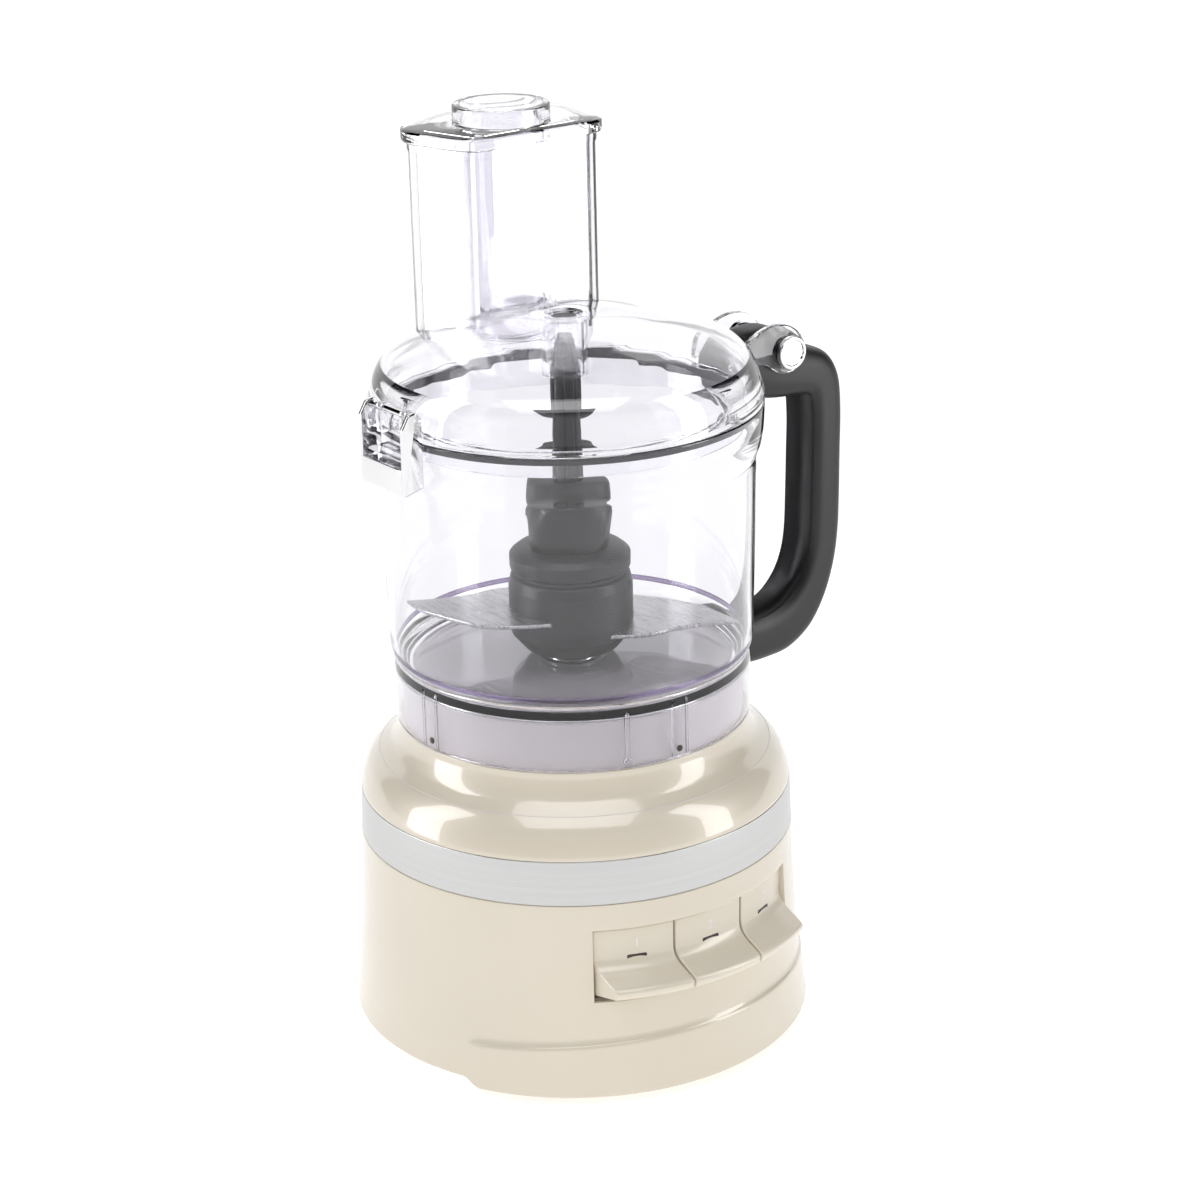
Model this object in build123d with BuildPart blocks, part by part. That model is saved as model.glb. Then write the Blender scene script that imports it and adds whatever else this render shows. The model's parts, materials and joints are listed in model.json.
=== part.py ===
"""Compact food processor: motor base, clear bowl with a latching lid, feed tube with two pushers, twin blade.

Frame: +Z up, the origin on the spindle axis in the plane of the feet. -Y is the front, where the paddles
are; +X is the handle and the lid hinge; -X is the lid latch; the feed tube stands behind the spindle (+Y).
All lengths are in millimetres.
"""
from build123d import *
from math import cos, sin, radians, hypot
import os

os.makedirs("parts", exist_ok=True)

# ---------------------------------------------------------------- driving dimensions
SLIDE_GAP = 0.5          # sideways room round a part that slides or swings
SEAT_GAP = 0.3           # room under a part that rests on another body

# base
FOOT_HEIGHT = 2.5
FOOT_RADIUS = 9.0
FOOT_CIRCLE = 84.0
PLATE_INSIDE = FOOT_HEIGHT + 3.0
SCREW_CIRCLE = 95.0
HOUSING_BOTTOM = 1.0
HOUSING_RADIUS = 106.3   # at the table
BAND_BOTTOM = 92.0
BAND_TOP = 112.5
BAND_RADIUS = 99.9
SHELL = 2.6
COLLAR_TOP = 146.6
PEDESTAL_TOP = 169.5
PEDESTAL_RADIUS = 76.5

GLAND_AT = (-22.0, 18.0)  # sideways from the spindle and height, on the back
GLAND_BORE = 3.4

# drive
BELT_CENTRES = 56.0      # spindle to motor shaft
MOTOR_AT = (0, BELT_CENTRES)
SPINDLE_RADIUS = 4.0
COUPLER_TOP = 226.0
COUPLER_FLATS = 14.0
MOTOR_RADIUS = 34.0
BRACKET_BOTTOM = 31.0
BRACKET_THICK = 3.0
BRACKET_POSTS = [(-60, 0), (60, 0), (-40, 66), (40, 66)]
MOTOR_BOTTOM = 46.0
MOTOR_TOP = 96.0
STATOR_BOTTOM = MOTOR_BOTTOM + 6
STATOR_TOP = MOTOR_TOP - 14
MOTOR_SCREW_SPAN = 61.0

# bowl
SKIRT_BOTTOM = 147.0
FLOOR_TOP = 173.0
STEP_HEIGHT = 181.0
SKIRT_RADIUS = 81.2
WALL_FOOT_RADIUS = 82.6
WALL_HEAD_RADIUS = 84.4
RIM_FOOT = 264.0
RIM_TOP = 292.0
RIM_RADIUS = 88.1
BOWL_WALL = 2.5
TUBE_RADIUS = 13.5       # the chimney that the drive coupler comes up through
TUBE_BORE = 11.0
TUBE_TOP = 215.0

# handle and hinge
GRIP_OUTER = 155.5
GRIP_INNER = 135.0
HANDLE_WIDTH = 25.0
HINGE_X = 115.5
HINGE_Z = 296.0
PIN_RADIUS = 2.5
PIN_CLEARANCE = 0.05
EAR_INNER = 13.6
EAR_OUTER = 17.0
CAP_RADIUS = 7.8
CAP_OUTER = 20.4

# lid
DOME_TOP = 331.6
LID_WALL = 2.4
LID_SEAT = RIM_TOP + SEAT_GAP
LID_SKIRT_BOTTOM = 281.0
LID_SKIRT_RADIUS = 80.2
BOSS_RADIUS = 10.2
BOSS_TOP = 330.5
BOSS_BOTTOM = 304.0
STEM_RADIUS = 6.8
STEM_TOP = 321.0
SOCKET_RADIUS = 7.6

# feed tube, behind the spindle
CHUTE_X = -2.0
CHUTE_FRONT_HALF = 34.0
CHUTE_FRONT = 13.5
CHUTE_WIDE_HALF = 42.4
CHUTE_WIDE = 44.0
CHUTE_BACK = 75.5
CHUTE_TOP = 405.0
CHUTE_BOTTOM = 312.0
CHUTE_WALL = 2.4
PUSHER_GAP = 0.8
PUSHER_WALL = 2.2
PUSHER_BOTTOM = 316.0
CUP_X = CHUTE_X
CUP_Y = 40.0
CUP_RADIUS = 19.4
CUP_FLANGE = 21.8
CUP_WALL = 1.6
WELL_THICK = 1.6
CUP_TOP = 419.0

# latch
LATCH_X = -90.5
LATCH_Z = 304.5
LATCH_FACE = -98.0
LATCH_HALF = 17.0
LATCH_BOTTOM = 271.0
CATCH_BOTTOM = 283.5
CATCH_TOP = 288.0

# blades
HUB_RADIUS = 28.3
HUB_BOTTOM = 177.0
HUB_TOP = 214.0
HUB_BORE = 15.0
CAP_TOP = 251.0
LOWER_BLADE_Z = 186.0
UPPER_BLADE_Z = 195.0
BLADE_THICK = 1.8

# paddles
PADDLE_NAMES = ("paddle_1", "paddle_2", "paddle_0")
PADDLE_PITCH = 21.5      # degrees between paddle middles
PADDLE_GAP = 1.0
PADDLE_SPLIT = 18.8      # from the middle plane to the gaps between paddles
WINDOW_HALF = 54.6
WINDOW_CORNER = 4.0
WINDOW_BOTTOM = 45.6
WINDOW_TOP = 79.8
PANEL_RADIUS = 98.4
PANEL_THICK = 3.0
LEDGE_TIP = 113.0
LEDGE_TOP = 56.0
LEDGE_BOTTOM = 50.8


def save(piece, name):
    """Label one finished node and write its STEP file."""
    piece.part.label = name
    export_step(piece.part, f"parts/{name}.step")
    return piece


def ring(outer, inner, bottom, top):
    """A plain ring, as its radius-height rectangle turned about the spindle axis."""
    with BuildPart() as made:
        with BuildSketch(Plane.XY.offset(bottom)):
            Circle(outer)
            if inner:
                Circle(inner, mode=Mode.SUBTRACT)
        extrude(amount=top - bottom)
    return made


def turned(points):
    """A body turned about the spindle axis from its closed radius-height outline."""
    with BuildPart() as made:
        with BuildSketch(Plane.XZ):
            with BuildLine():
                Polyline(*points, close=True)
            make_face()
        revolve(axis=Axis.Z)
    return made


def polar(radius, degrees_from_front, height=0.0):
    """A point at a radius and an azimuth measured from the front (-Y) towards the handle (+X)."""
    angle = radians(degrees_from_front)
    return (radius * sin(angle), -radius * cos(angle), height)


# ================================================================ base: outer shells
# ---------------------------------------------------------------- lower_housing
# radius and height of the outer wall, which flares softly towards the table
HOUSING_PROFILE = [(105.7, 4.5), (104.6, 14.0), (103.5, 25.0), (101.5, 50.0), (100.5, 72.0),
                   (BAND_RADIUS, BAND_BOTTOM - 0.1)]
# the front apron stands proud of that wall and reaches down to the table line
APRON_PROFILE = [(107.0, HOUSING_BOTTOM), (106.2, 12.0), (104.6, 24.0), (103.4, 26.6)]
APRON_HALF = 62.0        # degrees either side of the front
WINDOW_MIDDLE = (WINDOW_BOTTOM + WINDOW_TOP) / 2
with BuildPart() as lower_housing:
    with BuildSketch(Plane.XZ):
        with BuildLine():
            inside = [(r - SHELL, z) for r, z in reversed(HOUSING_PROFILE)]
            Polyline(*HOUSING_PROFILE, *inside, close=True)
        make_face()
    revolve(axis=Axis.Z)
    with BuildSketch(Plane.XZ.rotated((0, 0, -APRON_HALF - 90))):
        with BuildLine():
            Polyline(*APRON_PROFILE, (101.8, 26.6), (103.0, HOUSING_BOTTOM), close=True)
        make_face()
    revolve(axis=Axis.Z, revolution_arc=2 * APRON_HALF)
    with BuildSketch(Plane.XZ.offset(70)):
        with Locations((0, WINDOW_MIDDLE)):
            RectangleRounded(2 * WINDOW_HALF, WINDOW_TOP - WINDOW_BOTTOM, WINDOW_CORNER)
    extrude(amount=60, mode=Mode.SUBTRACT)
    with BuildSketch(Plane.XZ.offset(-120)):
        with Locations(GLAND_AT):
            Circle(5.2)
    extrude(amount=30, mode=Mode.SUBTRACT)
    # bosses for the screws that hold the base plate
    with BuildSketch(Plane.XY.offset(PLATE_INSIDE)):
        with PolarLocations(SCREW_CIRCLE, 4):
            Circle(4.0)
            with Locations((4.0, 0)):
                Rectangle(8.6, 4.0)
        with PolarLocations(SCREW_CIRCLE, 4):
            Circle(1.7, mode=Mode.SUBTRACT)
    extrude(amount=11)
save(lower_housing, "lower_housing")

# ---------------------------------------------------------------- window_frame: the well behind the paddles
WELL_OUTER = 97.6
WELL_INNER = 86.0
WELL_WALL = 2.0
BOARD_FRONT = 75.6       # the board's front face, measured forwards from the spindle
BOARD_HEIGHT = 62.0
with BuildPart() as paddle_well:
    with BuildSketch(Plane.XY.offset(WINDOW_BOTTOM - WELL_WALL)):
        with Locations((0, -70)):
            Rectangle(2 * (WINDOW_HALF + WELL_WALL), 100)
        Circle(WELL_OUTER, mode=Mode.INTERSECT)
        Circle(WELL_INNER, mode=Mode.SUBTRACT)
    extrude(amount=WINDOW_TOP - WINDOW_BOTTOM + 2 * WELL_WALL)
    with BuildSketch(Plane.XY.offset(WINDOW_BOTTOM)):
        with Locations((0, -70)):
            Rectangle(2 * WINDOW_HALF, 100)
        Circle(WELL_INNER + WELL_WALL, mode=Mode.SUBTRACT)
    extrude(amount=WINDOW_TOP - WINDOW_BOTTOM, mode=Mode.SUBTRACT)
    # posts that carry the board
    with BuildSketch(Plane.XZ.offset(BOARD_FRONT)):
        with Locations((0, BOARD_HEIGHT)):
            with GridLocations(66, 26, 2, 2):
                Circle(3.0)
    extrude(amount=4.6)
    with BuildSketch(Plane.XZ.offset(BOARD_FRONT)):
        with Locations((0, BOARD_HEIGHT)):
            with GridLocations(66, 26, 2, 2):
                Circle(1.6)
    extrude(amount=4.4, mode=Mode.SUBTRACT)
save(paddle_well, "paddle_well")

# ---------------------------------------------------------------- trim_band
trim_band = turned([(BAND_RADIUS, BAND_BOTTOM), (BAND_RADIUS - 0.7, BAND_TOP), (BAND_RADIUS - 1.9, BAND_TOP),
                    (BAND_RADIUS - 1.2, BAND_BOTTOM)])
save(trim_band, "trim_band")

# ---------------------------------------------------------------- top_collar: neck, rounded shoulder, band seat
with BuildPart() as top_collar:
    with BuildSketch(Plane.XZ):
        with BuildLine():
            Polyline((PEDESTAL_RADIUS, COLLAR_TOP - 2.6), (PEDESTAL_RADIUS, COLLAR_TOP), (80.4, COLLAR_TOP),
                     (81.0, 143.0))
            Spline((81.0, 143.0), (82.3, 138.6), (84.4, 134.9), (87.4, 132.2), (91.6, 128.8), (95.1, 124.6),
                   (97.5, 119.0), (98.9, BAND_TOP + 0.1))
            Polyline((98.9, BAND_TOP + 0.1), (97.3, BAND_TOP + 0.1), (98.0, BAND_BOTTOM),
                     (95.6, BAND_BOTTOM), (95.0, 118.0))
            Spline((95.0, 118.0), (92.2, 123.0), (86.5, 128.6), (82.2, 132.6), (79.6, 137.0), (79.0, COLLAR_TOP - 4.6))
            Polyline((79.0, COLLAR_TOP - 4.6), (79.0, COLLAR_TOP - 2.6), (PEDESTAL_RADIUS, COLLAR_TOP - 2.6))
        make_face()
    revolve(axis=Axis.Z)
save(top_collar, "top_collar")

# ---------------------------------------------------------------- pedestal: the silver drum under the bowl
with BuildPart() as pedestal:
    with BuildSketch(Plane.XY.offset(COLLAR_TOP - 12)):
        Circle(PEDESTAL_RADIUS)
    extrude(amount=PEDESTAL_TOP - COLLAR_TOP + 12)
    fillet(pedestal.edges().sort_by(Axis.Z)[-1], 3.0)
    with BuildSketch(Plane.XY.offset(COLLAR_TOP - 4.6)):
        Circle(79.0)
        Circle(PEDESTAL_RADIUS - 1, mode=Mode.SUBTRACT)
    extrude(amount=2.0)
    with BuildSketch(Plane.XY.offset(COLLAR_TOP - 12)):
        Circle(PEDESTAL_RADIUS - 2.4)
    extrude(amount=PEDESTAL_TOP - COLLAR_TOP + 9.6, mode=Mode.SUBTRACT)
    with BuildSketch(Plane.XY.offset(151)):
        Circle(15)
    extrude(amount=PEDESTAL_TOP - 151)
    with BuildSketch(Plane.XY.offset(151)):
        Circle(11.0)
    extrude(amount=14, mode=Mode.SUBTRACT)
    with BuildSketch(Plane.XY.offset(160)):
        Circle(9.0)
    extrude(amount=12, mode=Mode.SUBTRACT)
save(pedestal, "pedestal")

# ---------------------------------------------------------------- base_plate and feet
with BuildPart() as base_plate:
    with BuildSketch(Plane.XY.offset(FOOT_HEIGHT)):
        Circle(101.5)
    extrude(amount=3.0)
    with BuildSketch(Plane.XY.offset(FOOT_HEIGHT)):
        for ring_radius in (40.0, 48.0):
            with PolarLocations(ring_radius, 12, start_angle=15):
                SlotOverall(11, 3, rotation=0)
    extrude(amount=3.0, mode=Mode.SUBTRACT)
    with BuildSketch(Plane.XY.offset(FOOT_HEIGHT + 3.0)):
        with Locations(*BRACKET_POSTS):
            Circle(5)
    extrude(amount=BRACKET_BOTTOM - FOOT_HEIGHT - 3.0)
    with BuildSketch(Plane.XY.offset(FOOT_HEIGHT + 3.0)):
        with Locations(*BRACKET_POSTS):
            Circle(1.6)
    extrude(amount=BRACKET_BOTTOM - FOOT_HEIGHT - 3.0, mode=Mode.SUBTRACT)
    with BuildSketch(Plane.XY.offset(FOOT_HEIGHT)):
        with PolarLocations(SCREW_CIRCLE, 4):
            Circle(1.8)
    extrude(amount=3.0, mode=Mode.SUBTRACT)
save(base_plate, "base_plate")

with BuildPart() as feet:
    with BuildSketch(Plane.XY):
        Circle(FOOT_RADIUS)
        with PolarLocations(FOOT_CIRCLE, 4, start_angle=45):
            Circle(FOOT_RADIUS)
    extrude(amount=FOOT_HEIGHT)
    chamfer(feet.edges().group_by(Axis.Z)[0], 0.6)
save(feet, "feet")

# ---------------------------------------------------------------- base_screws: hold the plate to the housing
with BuildPart() as base_screws:
    with BuildSketch(Plane.XY.offset(FOOT_HEIGHT - 1.2)):
        with PolarLocations(SCREW_CIRCLE, 4):
            Circle(3.4)
    extrude(amount=1.2)
    with BuildSketch(Plane.XY.offset(FOOT_HEIGHT)):
        with PolarLocations(SCREW_CIRCLE, 4):
            Circle(1.7)
    extrude(amount=12)
save(base_screws, "base_screws")

# ================================================================ base: drive
# ---------------------------------------------------------------- motor_bracket
with BuildPart() as motor_bracket:
    with BuildSketch(Plane.XY.offset(BRACKET_BOTTOM)):
        with BuildLine():
            Polyline((-68, -18), (68, -18), (68, 14), (44, 72), (22, 86), (-22, 86), (-44, 72), (-68, 14),
                     close=True)
        make_face()
        with Locations(MOTOR_AT):
            Circle(8, mode=Mode.SUBTRACT)
        Circle(8, mode=Mode.SUBTRACT)
        with Locations(*BRACKET_POSTS):
            Circle(1.8, mode=Mode.SUBTRACT)
    extrude(amount=BRACKET_THICK)
    with BuildSketch(Plane.XY.offset(BRACKET_BOTTOM + BRACKET_THICK)):
        Circle(14)
        Circle(11, mode=Mode.SUBTRACT)
    extrude(amount=9)
    # posts that the motor stands on
    with BuildSketch(Plane.XY.offset(BRACKET_BOTTOM + BRACKET_THICK)):
        with Locations((-MOTOR_SCREW_SPAN / 2, BELT_CENTRES), (MOTOR_SCREW_SPAN / 2, BELT_CENTRES)):
            Circle(3.5)
            Circle(2.0, mode=Mode.SUBTRACT)
    extrude(amount=STATOR_BOTTOM - BRACKET_BOTTOM - BRACKET_THICK)
save(motor_bracket, "motor_bracket")

with BuildPart() as bracket_screws:
    with BuildSketch(Plane.XY.offset(BRACKET_BOTTOM + BRACKET_THICK)):
        with Locations(*BRACKET_POSTS):
            Circle(3.6)
    extrude(amount=2.4)
    with BuildSketch(Plane.XY.offset(BRACKET_BOTTOM - 10)):
        with Locations(*BRACKET_POSTS):
            Circle(1.5)
    extrude(amount=10 + BRACKET_THICK)
save(bracket_screws, "bracket_screws")

# ---------------------------------------------------------------- spindle: shaft, pulley, coupler, clip
spindle_shaft = ring(SPINDLE_RADIUS, 0, 12.0, 212.0)
save(spindle_shaft, "spindle_shaft")

PULLEY_BOTTOM = 14.0
PULLEY_TOP = 27.0
BELT_BOTTOM = 16.0
BELT_TOP = 25.0
SPINDLE_PULLEY_RADIUS = 27.0
MOTOR_PULLEY_RADIUS = 9.0
with BuildPart() as spindle_pulley:
    with BuildSketch(Plane.XY.offset(BELT_BOTTOM)):
        Circle(SPINDLE_PULLEY_RADIUS)
        with PolarLocations(SPINDLE_PULLEY_RADIUS, 48):
            Circle(0.8, mode=Mode.SUBTRACT)
        with PolarLocations(16, 6):
            Circle(4.5, mode=Mode.SUBTRACT)
        Circle(SPINDLE_RADIUS, mode=Mode.SUBTRACT)
    extrude(amount=BELT_TOP - BELT_BOTTOM)
    for level in (PULLEY_BOTTOM, BELT_TOP):
        with BuildSketch(Plane.XY.offset(level)):
            Circle(SPINDLE_PULLEY_RADIUS + 1.6)
            with PolarLocations(16, 6):
                Circle(4.5, mode=Mode.SUBTRACT)
            Circle(SPINDLE_RADIUS, mode=Mode.SUBTRACT)
        extrude(amount=PULLEY_TOP - BELT_TOP)
save(spindle_pulley, "spindle_pulley")

with BuildPart() as drive_coupler:
    with BuildSketch(Plane.XY.offset(PEDESTAL_TOP + 2.0)):
        RegularPolygon(COUPLER_FLATS / 2, 6, major_radius=False)
        Circle(SPINDLE_RADIUS, mode=Mode.SUBTRACT)
    extrude(amount=COUPLER_TOP - PEDESTAL_TOP - 2.0)
    with BuildSketch(Plane.XY.offset(212.0)):
        RegularPolygon(COUPLER_FLATS / 2, 6, major_radius=False)
    extrude(amount=COUPLER_TOP - 212.0)
    chamfer(drive_coupler.faces().sort_by(Axis.Z)[-1].edges(), 1.2)
save(drive_coupler, "drive_coupler")

shaft_clip = ring(6.4, SPINDLE_RADIUS, 28.2, 29.4)
save(shaft_clip, "shaft_clip")

with BuildPart() as spindle_bearings:
    for bottom in (BRACKET_BOTTOM + BRACKET_THICK, 151.5):
        with BuildSketch(Plane.XY.offset(bottom)):
            Circle(11.0)
            Circle(SPINDLE_RADIUS + PIN_CLEARANCE, mode=Mode.SUBTRACT)
        extrude(amount=9)
save(spindle_bearings, "spindle_bearings")
spindle_seal = ring(9.0, SPINDLE_RADIUS + PIN_CLEARANCE, 162.0, PEDESTAL_TOP)
save(spindle_seal, "spindle_seal")

# ---------------------------------------------------------------- rotor: shaft, core, commutator, fan, pulley
SHAFT_RADIUS = 3.0
ROTOR_RADIUS = 17.0


def on_motor(outer, inner, bottom, top):
    """A ring about the motor shaft."""
    with BuildPart() as made:
        with BuildSketch(Plane.XY.offset(bottom)):
            with Locations(MOTOR_AT):
                Circle(outer)
                if inner:
                    Circle(inner, mode=Mode.SUBTRACT)
        extrude(amount=top - bottom)
    return made


motor_shaft = on_motor(SHAFT_RADIUS, 0, 12.0, 116.0)
save(motor_shaft, "motor_shaft")

with BuildPart() as motor_pulley:
    with BuildSketch(Plane.XY.offset(BELT_BOTTOM)):
        with Locations(MOTOR_AT):
            Circle(MOTOR_PULLEY_RADIUS)
            with PolarLocations(MOTOR_PULLEY_RADIUS, 16):
                Circle(0.8, mode=Mode.SUBTRACT)
            Circle(SHAFT_RADIUS, mode=Mode.SUBTRACT)
    extrude(amount=BELT_TOP - BELT_BOTTOM)
    for level in (PULLEY_BOTTOM, BELT_TOP):
        with BuildSketch(Plane.XY.offset(level)):
            with Locations(MOTOR_AT):
                Circle(MOTOR_PULLEY_RADIUS + 1.6)
                Circle(SHAFT_RADIUS, mode=Mode.SUBTRACT)
        extrude(amount=PULLEY_TOP - BELT_TOP)
save(motor_pulley, "motor_pulley")

with BuildPart() as armature_core:
    with BuildSketch(Plane.XY.offset(MOTOR_BOTTOM + 8)):
        with Locations(MOTOR_AT):
            Circle(ROTOR_RADIUS)
            with PolarLocations(ROTOR_RADIUS - 2.2, 12):
                Circle(1.6, mode=Mode.SUBTRACT)
            Circle(SHAFT_RADIUS, mode=Mode.SUBTRACT)
    extrude(amount=MOTOR_TOP - MOTOR_BOTTOM - 22)
save(armature_core, "armature_core")

with BuildPart() as commutator:
    with BuildSketch(Plane.XY.offset(MOTOR_TOP - 12)):
        with Locations(MOTOR_AT):
            Circle(9.0)
            with PolarLocations(9.0, 18):
                Rectangle(1.6, 0.5, mode=Mode.SUBTRACT)
            Circle(SHAFT_RADIUS, mode=Mode.SUBTRACT)
    extrude(amount=10)
save(commutator, "commutator")

with BuildPart() as cooling_fan:
    with BuildSketch(Plane.XY.offset(106)):
        with Locations(MOTOR_AT):
            Circle(24)
            Circle(SHAFT_RADIUS, mode=Mode.SUBTRACT)
    extrude(amount=1.6)
    with BuildSketch(Plane.XY.offset(107.6)):
        with Locations(MOTOR_AT):
            Circle(7)
            Circle(SHAFT_RADIUS, mode=Mode.SUBTRACT)
            with PolarLocations(14.5, 9):
                Rectangle(17, 1.4)
    extrude(amount=6.5)
save(cooling_fan, "cooling_fan")

# ---------------------------------------------------------------- stator, coils, end frame, brushes, bearings
with BuildPart() as motor_stator:
    with BuildSketch(Plane.XY.offset(STATOR_BOTTOM)):
        with Locations(MOTOR_AT):
            RectangleRounded(2 * MOTOR_RADIUS, 52, 10)
            Circle(ROTOR_RADIUS + 0.6, mode=Mode.SUBTRACT)
            with GridLocations(46, 0, 2, 1):
                Rectangle(8, 34, mode=Mode.SUBTRACT)
            with GridLocations(MOTOR_SCREW_SPAN, 0, 2, 1):
                Circle(2.0, mode=Mode.SUBTRACT)
    extrude(amount=STATOR_TOP - STATOR_BOTTOM)
save(motor_stator, "motor_stator")

with BuildPart() as field_coils:
    with BuildSketch(Plane.XY.offset(STATOR_BOTTOM - 4)):
        with Locations(MOTOR_AT):
            with GridLocations(46, 0, 2, 1):
                Rectangle(7.4, 33.4)
    extrude(amount=STATOR_TOP - STATOR_BOTTOM + 8)
save(field_coils, "field_coils")

with BuildPart() as motor_frame:
    with BuildSketch(Plane.XY.offset(MOTOR_TOP)):
        with Locations(MOTOR_AT):
            RectangleRounded(2 * MOTOR_RADIUS, 46, 8)
            Circle(8.0, mode=Mode.SUBTRACT)
            with GridLocations(MOTOR_SCREW_SPAN, 0, 2, 1):
                Circle(2.0, mode=Mode.SUBTRACT)
    extrude(amount=7)
    with BuildSketch(Plane.XY.offset(STATOR_TOP)):
        with Locations(MOTOR_AT):
            with GridLocations(MOTOR_SCREW_SPAN, 0, 2, 1):
                Circle(3.5)
                Circle(2.0, mode=Mode.SUBTRACT)
    extrude(amount=MOTOR_TOP - STATOR_TOP)
save(motor_frame, "motor_frame")

with BuildPart() as motor_screws:
    with BuildSketch(Plane.XY.offset(BRACKET_BOTTOM + BRACKET_THICK)):
        with Locations(MOTOR_AT):
            with GridLocations(MOTOR_SCREW_SPAN, 0, 2, 1):
                Circle(2.0)
    extrude(amount=MOTOR_TOP + 7 - BRACKET_BOTTOM - BRACKET_THICK)
    with BuildSketch(Plane.XY.offset(MOTOR_TOP + 7)):
        with Locations(MOTOR_AT):
            with GridLocations(MOTOR_SCREW_SPAN, 0, 2, 1):
                Circle(3.8)
    extrude(amount=2.6)
save(motor_screws, "motor_screws")

with BuildPart() as brush_holders:
    with BuildSketch(Plane.XY.offset(MOTOR_TOP - 11)):
        with Locations((0, BELT_CENTRES - 16), (0, BELT_CENTRES + 16)):
            Rectangle(7, 13)
    extrude(amount=11)
save(brush_holders, "brush_holders")

with BuildPart() as motor_bearings:
    for bottom in (BRACKET_BOTTOM, MOTOR_TOP):
        with BuildSketch(Plane.XY.offset(bottom)):
            with Locations(MOTOR_AT):
                Circle(8.0)
                Circle(SHAFT_RADIUS + PIN_CLEARANCE, mode=Mode.SUBTRACT)
        extrude(amount=7)
save(motor_bearings, "motor_bearings")

# ---------------------------------------------------------------- drive_belt: an open loop round both pulleys
BELT_CLEAR = 0.35
BELT_THICK = 1.6


def belt_corners(extra):
    """Where the straight runs meet the two arcs, for circles enlarged by extra."""
    big = SPINDLE_PULLEY_RADIUS + extra
    small = MOTOR_PULLEY_RADIUS + extra
    lean = (big - small) / BELT_CENTRES
    level = (1 - lean * lean) ** 0.5
    return [(big * level, big * lean), (small * level, BELT_CENTRES + small * lean),
            (-small * level, BELT_CENTRES + small * lean), (-big * level, big * lean)]


def belt_face(extra):
    """The plan of the loop at one offset from the pulleys."""
    a, b, c, d = belt_corners(extra)
    with BuildSketch() as plan:
        with BuildLine():
            Line(a, b)
            ThreePointArc(b, (0, BELT_CENTRES + MOTOR_PULLEY_RADIUS + extra), c)
            Line(c, d)
            ThreePointArc(d, (0, -SPINDLE_PULLEY_RADIUS - extra), a)
        make_face()
    return plan.sketch


belt_outside = belt_face(BELT_CLEAR + BELT_THICK)
belt_inside = belt_face(BELT_CLEAR)
with BuildPart() as drive_belt:
    with BuildSketch(Plane.XY.offset(BELT_BOTTOM + 0.4)):
        add(belt_outside)
        add(belt_inside, mode=Mode.SUBTRACT)
    extrude(amount=BELT_TOP - BELT_BOTTOM - 0.8)
save(drive_belt, "drive_belt")

# ---------------------------------------------------------------- electrics
with BuildPart() as control_board:
    with BuildSketch(Plane.XZ.offset(BOARD_FRONT - 1.6)):
        with Locations((0, BOARD_HEIGHT)):
            Rectangle(76, 34)
            with GridLocations(66, 26, 2, 2):
                Circle(1.6, mode=Mode.SUBTRACT)
    extrude(amount=1.6)
save(control_board, "control_board")

with BuildPart() as board_screws:
    with BuildSketch(Plane.XZ.offset(BOARD_FRONT - 4.1)):
        with Locations((0, BOARD_HEIGHT)):
            with GridLocations(66, 26, 2, 2):
                Circle(2.8)
    extrude(amount=2.5)
    with BuildSketch(Plane.XZ.offset(BOARD_FRONT - 1.6)):
        with Locations((0, BOARD_HEIGHT)):
            with GridLocations(66, 26, 2, 2):
                Circle(1.6)
    extrude(amount=5.8)
save(board_screws, "board_screws")

with BuildPart() as paddle_switches:
    with BuildSketch(Plane.XZ.offset(BOARD_FRONT)):
        with Locations((-24, 53), (0, 53), (24, 53)):
            Rectangle(6, 6)
    extrude(amount=4.0)
save(paddle_switches, "paddle_switches")

with BuildPart() as interlock_switch:
    # hangs from the lower edge of the pedestal's wall
    with BuildSketch(Plane.XY.offset(COLLAR_TOP - 12)):
        with Locations((0, 73.5)):
            Rectangle(18, 9)
    extrude(amount=-9)
save(interlock_switch, "interlock_switch")

with BuildPart() as cord_gland:
    with BuildSketch(Plane.XZ.offset(-103)):
        with Locations(GLAND_AT):
            Circle(5.2)
            Circle(GLAND_BORE, mode=Mode.SUBTRACT)
    extrude(amount=10)
    with BuildSketch(Plane.XZ.offset(-96.5)):
        with Locations(GLAND_AT):
            Circle(7.5)
            Circle(GLAND_BORE, mode=Mode.SUBTRACT)
    extrude(amount=3.5)
save(cord_gland, "cord_gland")

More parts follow.
